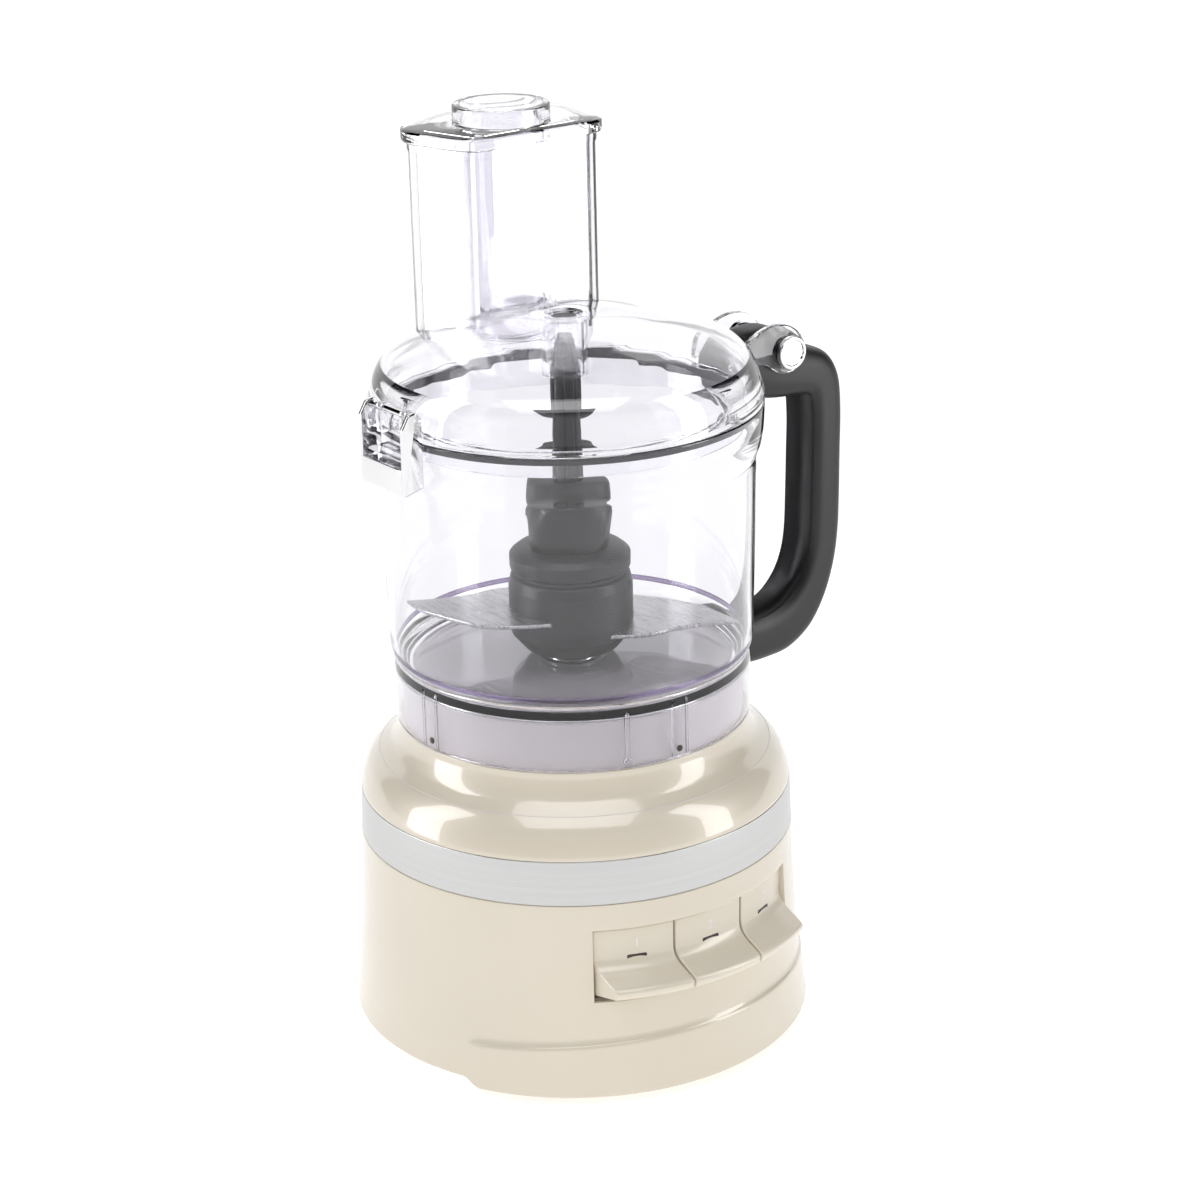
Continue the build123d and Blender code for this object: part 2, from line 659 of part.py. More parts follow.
# ================================================================ paddles
PANEL_TOP = WINDOW_TOP - 0.8
PANEL_BOTTOM = WINDOW_BOTTOM + 0.8
for index, paddle_name in enumerate(PADDLE_NAMES):
    middle = (index - 1) * PADDLE_PITCH
    left = -WINDOW_HALF + PADDLE_GAP if index == 0 else (index - 1.5) * 2 * PADDLE_SPLIT + PADDLE_GAP / 2
    right = WINDOW_HALF - PADDLE_GAP if index == 2 else (index - 0.5) * 2 * PADDLE_SPLIT - PADDLE_GAP / 2
    with BuildPart() as paddle:
        with BuildSketch(Plane.XZ):
            with BuildLine():
                Line((PANEL_RADIUS - PANEL_THICK, PANEL_BOTTOM), (PANEL_RADIUS - PANEL_THICK, PANEL_TOP))
                Line((PANEL_RADIUS - PANEL_THICK, PANEL_TOP), (PANEL_RADIUS - 0.4, PANEL_TOP))
                Line((PANEL_RADIUS - 0.4, PANEL_TOP), (PANEL_RADIUS, 66.0))
                Spline((PANEL_RADIUS, 66.0), (PANEL_RADIUS + 1.2, 62.6), (PANEL_RADIUS + 5.0, 60.0),
                       (LEDGE_TIP - 1.0, LEDGE_TOP), tangents=((0, -1), (1, -0.42)))
                Line((LEDGE_TIP - 1.0, LEDGE_TOP), (LEDGE_TIP, LEDGE_TOP - 1.2))
                Line((LEDGE_TIP, LEDGE_TOP - 1.2), (LEDGE_TIP - 0.6, LEDGE_BOTTOM))
                Line((LEDGE_TIP - 0.6, LEDGE_BOTTOM), (PANEL_RADIUS - PANEL_THICK, PANEL_BOTTOM))
            make_face()
        revolve(axis=Axis.Z)
        # the ends are cut straight to the front, and the outline follows the window's round corners
        with BuildSketch(Plane.XZ.offset(70)):
            with Locations((0, WINDOW_MIDDLE)):
                RectangleRounded(2 * (WINDOW_HALF - PADDLE_GAP), PANEL_TOP - PANEL_BOTTOM, WINDOW_CORNER - 0.8)
            with Locations(((left + right) / 2, WINDOW_MIDDLE)):
                Rectangle(right - left, 60, mode=Mode.INTERSECT)
        extrude(amount=60, mode=Mode.INTERSECT)
        facing = Plane(origin=polar(PANEL_RADIUS + 2, middle, 65.0), x_dir=polar(1, middle + 90),
                       z_dir=polar(-1, middle))
        with BuildSketch(facing):
            SlotOverall(9.4, 2.4)
        extrude(amount=8, mode=Mode.SUBTRACT)
    save(paddle, paddle_name)
    with BuildPart() as lens:
        with BuildSketch(Plane(origin=polar(PANEL_RADIUS - 0.5, middle, 65.0), x_dir=polar(1, middle + 90),
                               z_dir=polar(-1, middle))):
            SlotOverall(9.4, 2.4)
        extrude(amount=PANEL_THICK - 0.6)
    save(lens, paddle_name.replace("paddle", "light_lens"))

# ================================================================ bowl
with BuildPart() as bowl:
    with BuildSketch(Plane.XZ):
        with BuildLine():
            Polyline((SKIRT_RADIUS, SKIRT_BOTTOM), (SKIRT_RADIUS, STEP_HEIGHT - 2), (WALL_FOOT_RADIUS, STEP_HEIGHT),
                     (WALL_HEAD_RADIUS, RIM_FOOT), (RIM_RADIUS, RIM_FOOT + 22), (RIM_RADIUS, RIM_TOP),
                     (RIM_RADIUS - 2.2, RIM_TOP), (RIM_RADIUS - 2.2, RIM_FOOT + 24),
                     (WALL_HEAD_RADIUS - BOWL_WALL, RIM_FOOT + 2),
                     (WALL_FOOT_RADIUS - BOWL_WALL, STEP_HEIGHT + 2), (WALL_FOOT_RADIUS - 6, FLOOR_TOP),
                     (TUBE_RADIUS + 2, FLOOR_TOP), (TUBE_RADIUS, FLOOR_TOP + 3), (TUBE_RADIUS, TUBE_TOP),
                     (TUBE_BORE, TUBE_TOP), (TUBE_BORE, FLOOR_TOP - BOWL_WALL),
                     (SKIRT_RADIUS - 2.4, FLOOR_TOP - BOWL_WALL), (SKIRT_RADIUS - 2.4, SKIRT_BOTTOM), close=True)
        make_face()
    revolve(axis=Axis.Z)
    # the catch that the latch hooks under
    with BuildSketch(Plane.XY.offset(CATCH_BOTTOM)):
        with Locations((-89.4, 0)):
            Rectangle(6.4, 22)
    extrude(amount=CATCH_TOP - CATCH_BOTTOM)
save(bowl, "bowl")

# ---------------------------------------------------------------- handle: a D-loop from rim to foot of the bowl
HEAD_TOP = HINGE_Z + 10.5
with BuildPart() as handle:
    with BuildSketch(Plane.XZ.offset(-HANDLE_WIDTH / 2)):
        with BuildLine():
            Polyline((86.2, 280), (86.2, 303), (102, HEAD_TOP), (HINGE_X + 2, HEAD_TOP), (HINGE_X + 12, 297),
                     (134, 295.0))
            Spline((134, 295.0), (147, 289.5), (153.8, 278), (GRIP_OUTER, 262))
            Line((GRIP_OUTER, 262), (GRIP_OUTER - 1, 206))
            Spline((GRIP_OUTER - 1, 206), (152, 185.5), (145.3, 167), (133.3, 152), (116, 143.3), (98, 143.0))
            Polyline((98, 143.0), (84.0, 147.2), (79.6, 147.5), (79.6, 169), (104, 170))
            Spline((104, 170), (118, 173.5), (127, 182), (132, 194), (GRIP_INNER - 0.4, 209))
            Line((GRIP_INNER - 0.4, 209), (GRIP_INNER, 262))
            Spline((GRIP_INNER, 262), (133, 267.6), (128, 270.5), (120, 271.5))
            Polyline((120, 271.5), (98, 272.5), (86.2, 280))
        make_face()
    extrude(amount=HANDLE_WIDTH)
    # both ends are shaped to the bowl, and the head clears the edge of the lid
    add(bowl.part, mode=Mode.SUBTRACT)
    with BuildSketch(Plane.XY.offset(RIM_TOP)):
        Circle(RIM_RADIUS + 2.2)
    extrude(amount=30, mode=Mode.SUBTRACT)
    with BuildSketch(Plane.XZ.offset(-HANDLE_WIDTH / 2 - 1)):
        with Locations((HINGE_X, HINGE_Z)):
            Circle(PIN_RADIUS)
    extrude(amount=HANDLE_WIDTH + 2, mode=Mode.SUBTRACT)
    # finger channel along the inside of the grip
    with BuildSketch(Plane.XY.offset(178)):
        with Locations((GRIP_INNER - 3, 0)):
            Circle(8.4)
    extrude(amount=88, mode=Mode.SUBTRACT)
    # screw holes into the bowl's bosses
    for level, start in ((283.0, 88.0), (157.0, 84.0)):
        with BuildSketch(Plane.YZ.offset(start)):
            with Locations((0, level)):
                Circle(1.8)
        extrude(amount=18, mode=Mode.SUBTRACT)
save(handle, "handle")

with BuildPart() as handle_screws:
    for level, start in ((283.0, 88.9), (157.0, 85.0)):
        with BuildSketch(Plane.YZ.offset(start)):
            with Locations((0, level)):
                Circle(1.8)
        extrude(amount=16)
save(handle_screws, "handle_screws")

with BuildPart() as grip_liner:
    with BuildSketch(Plane.XY.offset(180)):
        with Locations((GRIP_INNER - 3, 0)):
            Circle(8.3)
            Circle(7.1, mode=Mode.SUBTRACT)
        with Locations((GRIP_INNER - 10, 0)):
            Rectangle(20, 24, mode=Mode.SUBTRACT)
    extrude(amount=84)
save(grip_liner, "grip_liner")

# ---------------------------------------------------------------- hinge_pin and hinge_caps
with BuildPart() as hinge_pin:
    with BuildSketch(Plane.XZ.offset(-EAR_OUTER - 0.3)):
        with Locations((HINGE_X, HINGE_Z)):
            Circle(PIN_RADIUS)
    extrude(amount=2 * EAR_OUTER + 0.6)
save(hinge_pin, "hinge_pin")

with BuildPart() as hinge_caps:
    for side in (-1, 1):
        face = Plane(origin=(HINGE_X, side * (EAR_OUTER + 0.3), HINGE_Z), x_dir=(1, 0, 0), z_dir=(0, side, 0))
        with BuildSketch(face):
            Circle(CAP_RADIUS)
        extrude(amount=CAP_OUTER - EAR_OUTER - 0.3)
    fillet(hinge_caps.edges().filter_by(lambda e: abs(abs(e.center().Y) - CAP_OUTER) < 0.01), 0.8)
save(hinge_caps, "hinge_caps")

# ================================================================ blade
with BuildPart() as blade_hub:
    with BuildSketch(Plane.XZ):
        with BuildLine():
            Polyline((HUB_BORE, HUB_BOTTOM), (22.0, HUB_BOTTOM), (HUB_RADIUS - 0.6, 185.0), (HUB_RADIUS, 190.0),
                     (HUB_RADIUS - 0.3, 208.0), (25.6, 212.0), (25.6, HUB_TOP), (27.6, 216.0), (27.6, 222.0),
                     (24.5, 224.0), (20.6, 225.0), (0, 225.0), (0, 217.0), (HUB_BORE, 217.0), close=True)
        make_face()
    revolve(axis=Axis.Z)
    with BuildSketch(Plane.XY.offset(216.0)):
        RegularPolygon(COUPLER_FLATS / 2 + 0.4, 6, major_radius=False)
    extrude(amount=9.0, mode=Mode.SUBTRACT)
save(blade_hub, "blade_hub")

with BuildPart() as hub_cap:
    with BuildSketch(Plane.XY.offset(225.0)):
        RectangleRounded(34.5, 34.5, 9, rotation=10)
    with BuildSketch(Plane.XY.offset(239.0)):
        RectangleRounded(35.0, 35.0, 8, rotation=22)
    with BuildSketch(Plane.XY.offset(CAP_TOP)):
        RectangleRounded(31.0, 31.0, 8, rotation=34)
    loft()
    with BuildSketch(Plane.XY.offset(225.0)):
        RegularPolygon(COUPLER_FLATS / 2 + 0.4, 6, major_radius=False)
    extrude(amount=2.4, mode=Mode.SUBTRACT)
save(hub_cap, "hub_cap")

with BuildPart() as drive_stem:
    with BuildSketch(Plane.XY.offset(CAP_TOP)):
        Circle(STEM_RADIUS)
        with PolarLocations(STEM_RADIUS + 0.4, 8):
            Circle(1.2, mode=Mode.SUBTRACT)
    extrude(amount=306.0 - CAP_TOP)
    with BuildSketch(Plane.XY.offset(306.0)):
        Circle(STEM_RADIUS - 0.4)
    with BuildSketch(Plane.XY.offset(STEM_TOP)):
        Circle(3.8)
    loft()
save(drive_stem, "drive_stem")

# twin crescent blades, half a turn apart; the plan of the upper one, from its tip round to the hub
CUTTING_EDGE = [(-57.0, 50.0), (-58.0, 37.0), (-55.5, 24.0), (-49.0, 2.0), (-36.0, -10.5), (-18.5, -20.5)]
BACK_EDGE = [(2.0, 27.0), (-15.0, 36.0), (-29.5, 38.0), (-43.0, 42.3), (-57.0, 50.0)]
with BuildSketch() as crescent:
    with BuildLine():
        Spline(*CUTTING_EDGE)
        Polyline(CUTTING_EDGE[-1], (0, 0), BACK_EDGE[0])
        Spline(*BACK_EDGE)
    make_face()
    Circle(HUB_RADIUS, mode=Mode.SUBTRACT)

for blade_name, level, turn in (("blade_upper", UPPER_BLADE_Z, 0), ("blade_lower", LOWER_BLADE_Z, 180)):
    with BuildPart() as blade:
        with BuildSketch(Plane.XY.offset(level).rotated((0, 0, turn))):
            add(crescent.sketch)
        extrude(amount=BLADE_THICK)
    save(blade, blade_name)

# ================================================================ lid
DOME_PROFILE = [(RIM_RADIUS, 296.0), (86.9, 300.0), (85.6, 304.5), (83.6, 309.2), (80.6, 313.4), (76.4, 316.8),
                (71.0, 319.5), (64.0, 321.9), (56.0, 324.0), (46.0, 326.4), (33.0, 329.3)]


def inset_profile(points, amount):
    """The same curve moved towards the spindle by a constant thickness, measured square to it."""
    moved = []
    for index, (r, z) in enumerate(points):
        before = points[max(index - 1, 0)]
        after = points[min(index + 1, len(points) - 1)]
        along_r, along_z = after[0] - before[0], after[1] - before[1]
        length = hypot(along_r, along_z)
        moved.append((r - amount * along_z / length, z + amount * along_r / length))
    return moved


def chute_outline(inset):
    """Outline of the feed tube: flat front, widening sides, a back that follows the bowl."""
    corner = CHUTE_FRONT_HALF - 7
    shoulder = CHUTE_FRONT_HALF + 3.4
    back_x = CHUTE_WIDE_HALF - 14.5

    def at(x, y):
        return (CHUTE_X + x, y)

    with BuildSketch() as plan:
        with BuildLine():
            Line(at(-corner, CHUTE_FRONT), at(corner, CHUTE_FRONT))
            ThreePointArc(at(corner, CHUTE_FRONT), at(CHUTE_FRONT_HALF, CHUTE_FRONT + 3.6),
                          at(shoulder, CHUTE_FRONT + 11))
            Line(at(shoulder, CHUTE_FRONT + 11), at(CHUTE_WIDE_HALF, CHUTE_WIDE))
            ThreePointArc(at(CHUTE_WIDE_HALF, CHUTE_WIDE), at(CHUTE_WIDE_HALF - 4.2, CHUTE_WIDE + 12),
                          at(back_x, 66.0))
            ThreePointArc(at(back_x, 66.0), at(0, CHUTE_BACK), at(-back_x, 66.0))
            ThreePointArc(at(-back_x, 66.0), at(-CHUTE_WIDE_HALF + 4.2, CHUTE_WIDE + 12),
                          at(-CHUTE_WIDE_HALF, CHUTE_WIDE))
            Line(at(-CHUTE_WIDE_HALF, CHUTE_WIDE), at(-shoulder, CHUTE_FRONT + 11))
            ThreePointArc(at(-shoulder, CHUTE_FRONT + 11), at(-CHUTE_FRONT_HALF, CHUTE_FRONT + 3.6),
                          at(-corner, CHUTE_FRONT))
        make_face()
        if inset:
            offset(amount=-inset, mode=Mode.REPLACE)
    return plan.sketch


chute_outside = chute_outline(0)
chute_inside = chute_outline(CHUTE_WALL)
pusher_outside = chute_outline(CHUTE_WALL + PUSHER_GAP)
pusher_inside = chute_outline(CHUTE_WALL + PUSHER_GAP + PUSHER_WALL)
pusher_flange = chute_outline(-3.2)

EAR_OUTLINE = [(85.8, 293.0), (85.8, 301.5), (96.0, 307.2), (104.0, 309.6), (110.0, 309.8), (116.0, 308.2),
               (121.5, 304.6), (125.0, 299.6), (125.5, 294.0), (122.0, 288.6), (116.0, 285.8), (110.0, 286.6),
               (103.0, 291.5)]
with BuildPart() as lid:
    with BuildSketch(Plane.XZ):
        with BuildLine():
            Polyline((0, DOME_TOP), (14.0, DOME_TOP), DOME_PROFILE[-1])
            Spline(*reversed(DOME_PROFILE))
            Polyline(DOME_PROFILE[0], (RIM_RADIUS, LID_SEAT), (LID_SKIRT_RADIUS, LID_SEAT),
                     (LID_SKIRT_RADIUS, LID_SKIRT_BOTTOM), (LID_SKIRT_RADIUS - 2.0, LID_SKIRT_BOTTOM),
                     (LID_SKIRT_RADIUS - 2.0, LID_SEAT + 4))
            inner = inset_profile(DOME_PROFILE, LID_WALL)[1:]
            Line((LID_SKIRT_RADIUS - 2.0, LID_SEAT + 4), inner[0])
            Spline(*inner)
            Polyline(inner[-1], (14.0, DOME_TOP - LID_WALL), (0, DOME_TOP - LID_WALL), (0, DOME_TOP))
        make_face()
    revolve(axis=Axis.Z)
    # centre boss with its socket for the stem
    with BuildSketch(Plane.XY.offset(BOSS_BOTTOM)):
        Circle(BOSS_RADIUS)
    extrude(amount=DOME_TOP - BOSS_BOTTOM)
    with BuildSketch(Plane.XY.offset(BOSS_TOP - 0.1)):
        Circle(BOSS_RADIUS - 1.6)
    extrude(amount=6, mode=Mode.SUBTRACT)
    with BuildSketch(Plane.XY.offset(BOSS_BOTTOM)):
        Circle(SOCKET_RADIUS)
    extrude(amount=23.0, mode=Mode.SUBTRACT)
    with BuildSketch(Plane.XY.offset(320)):
        Circle(5.2)
    extrude(amount=20, mode=Mode.SUBTRACT)
    # feed tube
    with BuildSketch(Plane.XY.offset(CHUTE_BOTTOM)):
        add(chute_outside)
    extrude(amount=CHUTE_TOP - CHUTE_BOTTOM)
    with BuildSketch(Plane.XY.offset(CHUTE_BOTTOM - 5)):
        add(chute_inside)
    extrude(amount=CHUTE_TOP - CHUTE_BOTTOM + 10, mode=Mode.SUBTRACT)
    # hinge ears
    for side in (-1, 1):
        plane = Plane(origin=(0, side * EAR_INNER, 0), x_dir=(1, 0, 0), z_dir=(0, side, 0))
        with BuildSketch(plane):
            flip = -1 if side > 0 else 1
            with BuildLine():
                Polyline(*[(x, flip * z) for x, z in EAR_OUTLINE], close=True)
            make_face()
            with Locations((HINGE_X, flip * HINGE_Z)):
                Circle(PIN_RADIUS + PIN_CLEARANCE, mode=Mode.SUBTRACT)
        extrude(amount=EAR_OUTER - EAR_INNER)
    # lug that carries the latch rod
    for side in (-1, 1):
        plane = Plane(origin=(0, side * 11.0, 0), x_dir=(1, 0, 0), z_dir=(0, -side, 0))
        with BuildSketch(plane):
            flip = 1 if side > 0 else -1
            with BuildLine():
                Polyline((-84.0, flip * 293.0), (-84.0, flip * 303.5), (LATCH_X, flip * (LATCH_Z + 2.8)),
                         (LATCH_X - 2.6, flip * LATCH_Z), (LATCH_X - 2.0, flip * 293.0), close=True)
            make_face()
            with Locations((LATCH_X, flip * LATCH_Z)):
                Circle(1.5, mode=Mode.SUBTRACT)
        extrude(amount=4.0)
save(lid, "lid")

lid_seal = ring(83.4, LID_SKIRT_RADIUS, LID_SEAT - 2.6, LID_SEAT)
save(lid_seal, "lid_seal")

with BuildPart() as stem_bush:
    with BuildSketch(Plane.XY.offset(327.0)):
        Circle(5.2)
    extrude(amount=BOSS_TOP - 1.0 - 327.0)
save(stem_bush, "stem_bush")

with BuildPart() as latch_rod:
    with BuildSketch(Plane.XZ.offset(-LATCH_HALF + 2.4)):
        with Locations((LATCH_X, LATCH_Z)):
            Circle(1.5)
    extrude(amount=2 * LATCH_HALF - 4.8)
save(latch_rod, "latch_rod")

# ---------------------------------------------------------------- latch: chrome clip that hooks under the catch
with BuildPart() as latch:
    # face plate below, open window above for the clear lugs
    with BuildSketch(Plane.YZ.offset(LATCH_FACE)):
        with Locations((0, (LATCH_BOTTOM + 283.0) / 2)):
            Rectangle(2 * LATCH_HALF, 283.0 - LATCH_BOTTOM)
    extrude(amount=1.8)
    for side in (-1, 1):
        with BuildSketch(Plane.XZ.offset(-side * LATCH_HALF + (0 if side > 0 else -2.2))):
            with BuildLine():
                Polyline((LATCH_FACE, LATCH_BOTTOM), (-87.5, LATCH_BOTTOM + 3), (-87.5, LATCH_Z),
                         (LATCH_X, LATCH_Z + 3), (LATCH_X - 3.5, LATCH_Z + 2), (LATCH_FACE, LATCH_Z - 4), close=True)
            make_face()
            with Locations((LATCH_X, LATCH_Z)):
                Circle(1.6, mode=Mode.SUBTRACT)
        extrude(amount=2.2)
    # hook bar
    with BuildSketch(Plane.XY.offset(CATCH_BOTTOM - 3.4)):
        with Locations((-94.4, 0)):
            Rectangle(7.2, 2 * LATCH_HALF - 3.4)
    extrude(amount=2.9)
save(latch, "latch")

# ================================================================ pushers
PLATE_TOP = CHUTE_TOP + SEAT_GAP + 5.6
CUP_CENTRE = (CUP_X, CUP_Y)
with BuildPart() as feed_pusher:
    with BuildSketch(Plane.XY.offset(PUSHER_BOTTOM)):
        add(pusher_outside)
    extrude(amount=CHUTE_TOP + SEAT_GAP - PUSHER_BOTTOM)
    with BuildSketch(Plane.XY.offset(CHUTE_TOP + SEAT_GAP)):
        add(pusher_flange)
    extrude(amount=PLATE_TOP - CHUTE_TOP - SEAT_GAP)
    with BuildSketch(Plane.XY.offset(PUSHER_BOTTOM - 1)):
        add(pusher_inside)
    extrude(amount=PLATE_TOP - PUSHER_WALL - PUSHER_BOTTOM + 1, mode=Mode.SUBTRACT)
    # round well for the small pusher, open at both ends
    with BuildSketch(Plane.XY.offset(PUSHER_BOTTOM)):
        with Locations(CUP_CENTRE):
            Circle(CUP_RADIUS + PUSHER_GAP + WELL_THICK)
    extrude(amount=PLATE_TOP - PUSHER_BOTTOM)
    with BuildSketch(Plane.XY.offset(PUSHER_BOTTOM)):
        with Locations(CUP_CENTRE):
            Circle(CUP_RADIUS + PUSHER_GAP)
    extrude(amount=PLATE_TOP - PUSHER_BOTTOM, mode=Mode.SUBTRACT)
save(feed_pusher, "feed_pusher")

with BuildPart() as small_pusher:
    with BuildSketch(Plane.XY.offset(PUSHER_BOTTOM)):
        with Locations(CUP_CENTRE):
            Circle(CUP_RADIUS)
    extrude(amount=CUP_TOP - PUSHER_BOTTOM)
    with BuildSketch(Plane.XY.offset(PLATE_TOP + SEAT_GAP)):
        with Locations(CUP_CENTRE):
            Circle(CUP_FLANGE)
    extrude(amount=CUP_TOP - PLATE_TOP - SEAT_GAP)
    with BuildSketch(Plane.XY.offset(PUSHER_BOTTOM + CUP_WALL)):
        with Locations(CUP_CENTRE):
            Circle(CUP_RADIUS - CUP_WALL)
    extrude(amount=CUP_TOP - PUSHER_BOTTOM, mode=Mode.SUBTRACT)
save(small_pusher, "small_pusher")
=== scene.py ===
"""Looks, light and camera for the compact food processor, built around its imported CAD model.

Frame: +Z up from the table, the spindle on the Z axis, -Y the front with the paddles, +X the handle and the
lid hinge, -X the latch. Shapes are written in millimetres and stored in metres.
"""

import json
from math import cos, hypot, pi, radians, sin, sqrt

import bmesh
import bpy
from mathutils import Matrix, Vector


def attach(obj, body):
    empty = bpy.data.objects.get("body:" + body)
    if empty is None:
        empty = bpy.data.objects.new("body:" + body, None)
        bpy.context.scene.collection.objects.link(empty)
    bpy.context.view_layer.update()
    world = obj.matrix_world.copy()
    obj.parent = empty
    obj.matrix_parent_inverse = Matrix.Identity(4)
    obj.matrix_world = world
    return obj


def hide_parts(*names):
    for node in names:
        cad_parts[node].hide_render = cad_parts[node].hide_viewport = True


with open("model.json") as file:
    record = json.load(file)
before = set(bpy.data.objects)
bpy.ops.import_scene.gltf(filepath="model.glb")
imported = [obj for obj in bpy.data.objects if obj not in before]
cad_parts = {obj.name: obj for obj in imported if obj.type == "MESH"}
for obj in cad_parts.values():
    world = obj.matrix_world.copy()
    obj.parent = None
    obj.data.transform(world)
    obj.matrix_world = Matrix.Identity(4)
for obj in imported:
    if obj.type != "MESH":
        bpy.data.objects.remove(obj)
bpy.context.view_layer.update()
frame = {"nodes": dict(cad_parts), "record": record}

MM = 0.001
nodes = frame["nodes"]
SIDES = ((-1, "front"), (1, "back"))

# ---------------------------------------------------------------- materials


def shader(name, **values):
    """A new material with a Principled shader; each value goes straight onto the socket of that name."""
    made = bpy.data.materials.new(name)
    made.use_nodes = True
    principled = made.node_tree.nodes["Principled BSDF"]
    for socket, value in values.items():
        principled.inputs[socket.replace("_", " ")].default_value = value
    return made


def add_node(material, kind, **settings):
    """A node of the given kind in a material's tree, with its properties set."""
    made = material.node_tree.nodes.new(kind)
    for key, value in settings.items():
        setattr(made, key, value)
    return made


def link(material, source, output, target, socket):
    """Joins an output socket to an input socket."""
    material.node_tree.links.new(source.outputs[output], target.inputs[socket])


def object_noise(material, scale, stretch=(1, 1, 1), detail=4.0):
    """Noise in the object's own coordinates, finer along the axes with a larger stretch."""
    where = add_node(material, "ShaderNodeTexCoord")
    mapping = add_node(material, "ShaderNodeMapping")
    mapping.inputs["Scale"].default_value = stretch
    noise = add_node(material, "ShaderNodeTexNoise")
    noise.inputs["Scale"].default_value = scale
    noise.inputs["Detail"].default_value = detail
    link(material, where, "Object", mapping, "Vector")
    link(material, mapping, "Vector", noise, "Vector")
    return noise


def vary_roughness(material, noise, low, high):
    """Lets the noise move the roughness between two values."""
    spread = add_node(material, "ShaderNodeMapRange")
    spread.inputs["To Min"].default_value = low
    spread.inputs["To Max"].default_value = high
    link(material, noise, "Fac", spread, "Value")
    link(material, spread, "Result", material.node_tree.nodes["Principled BSDF"], "Roughness")


def vary_colour(material, noise, dark, light):
    """Lets the noise move the base colour between two colours."""
    ramp = add_node(material, "ShaderNodeValToRGB")
    ramp.color_ramp.elements[0].position, ramp.color_ramp.elements[1].position = 0.3, 0.7
    ramp.color_ramp.elements[0].color = (*dark, 1)
    ramp.color_ramp.elements[1].color = (*light, 1)
    link(material, noise, "Fac", ramp, "Fac")
    link(material, ramp, "Color", material.node_tree.nodes["Principled BSDF"], "Base Color")


def add_bump(material, noise, height_mm, strength=0.5):
    """Bump of the given height from the noise."""
    bump = add_node(material, "ShaderNodeBump")
    bump.inputs["Strength"].default_value = strength
    bump.inputs["Distance"].default_value = height_mm * MM
    link(material, noise, "Fac", bump, "Height")
    link(material, bump, "Normal", material.node_tree.nodes["Principled BSDF"], "Normal")


def moulded(name, colour, low, high, grain=900, height=0.02, coat=0.0):
    """Moulded plastic: near-even colour, roughness that wanders, and a very fine surface grain."""
    made = shader(name, Base_Color=(*colour, 1), Coat_Weight=coat, Coat_Roughness=0.045)
    vary_roughness(made, object_noise(made, 35), low, high)
    add_bump(made, object_noise(made, grain), height)
    vary_colour(made, object_noise(made, 12), [c * 0.975 for c in colour], [min(1, c * 1.015) for c in colour])
    return made


def brushed(name, dark, light, stretch, rough=(0.24, 0.4), anisotropic=0.6):
    """Brushed steel, its scratches long across the axis with the larger stretch."""
    made = shader(name, Metallic=1.0, Anisotropic=anisotropic)
    lines = object_noise(made, 60, stretch, 6)
    vary_roughness(made, lines, *rough)
    vary_colour(made, lines, dark, light)
    add_bump(made, object_noise(made, 90, stretch, 3), 0.02, 0.35)
    return made


cream = moulded("cream_plastic", (0.80, 0.725, 0.60), 0.26, 0.34, coat=0.8)
cream_button = moulded("cream_button", (0.81, 0.74, 0.615), 0.28, 0.36, coat=0.5)
black = moulded("black_plastic", (0.009, 0.009, 0.011), 0.36, 0.46, grain=700, height=0.002)
silver_plastic = moulded("silver_plastic", (0.78, 0.735, 0.76), 0.28, 0.4)
dark_lens = moulded("dark_lens", (0.035, 0.022, 0.018), 0.12, 0.2)
white_print = moulded("white_print", (0.92, 0.91, 0.89), 0.4, 0.5)
rubber = moulded("black_rubber", (0.02, 0.02, 0.02), 0.6, 0.75, grain=1200, height=0.05)
seal_rubber = moulded("seal_rubber", (0.02, 0.016, 0.026), 0.35, 0.5)
board_green = moulded("board_green", (0.02, 0.10, 0.035), 0.3, 0.4)
core_paint = moulded("core_steel", (0.06, 0.06, 0.068), 0.4, 0.55, grain=300, height=0.05)
band_steel = brushed("band_steel", (0.50, 0.50, 0.50), (0.66, 0.66, 0.655), (0.02, 0.02, 90), (0.26, 0.36))
# painted shade: the blade steel's colours are darker than the other steels' to stand in for the dark hub and bowl
# it reflects
blade_steel = brushed("blade_steel", (0.36, 0.36, 0.37), (0.56, 0.56, 0.57), (14, 1.2, 1), (0.22, 0.34))
shaft_steel = brushed("shaft_steel", (0.45, 0.45, 0.46), (0.65, 0.65, 0.66), (1, 1, 18))
zinc_steel = brushed("zinc_steel", (0.46, 0.46, 0.44), (0.62, 0.62, 0.60), (4, 4, 4), (0.3, 0.45), 0.0)
copper = brushed("copper", (0.62, 0.28, 0.15), (0.80, 0.42, 0.26), (6, 6, 22), (0.25, 0.4), 0.0)
chrome = shader("bright_chrome", Base_Color=(0.78, 0.78, 0.79, 1), Metallic=1.0)
vary_roughness(chrome, object_noise(chrome, 40), 0.05, 0.1)


def clear(name, colour, roughness=0.0):
    """Clear polycarbonate: a real refracting wall with a faint violet body colour."""
    made = shader(name, Base_Color=(*colour, 1), Roughness=roughness, Transmission_Weight=1.0, IOR=1.50)
    add_bump(made, object_noise(made, 14), 0.25, 0.12)
    return made


clear_plastic = clear("clear_plastic", (0.925, 0.92, 0.945))
pusher_plastic = clear("pusher_plastic", (0.965, 0.962, 0.975))
violet_edge = clear("violet_edge", (0.30, 0.24, 0.40), 0.03)

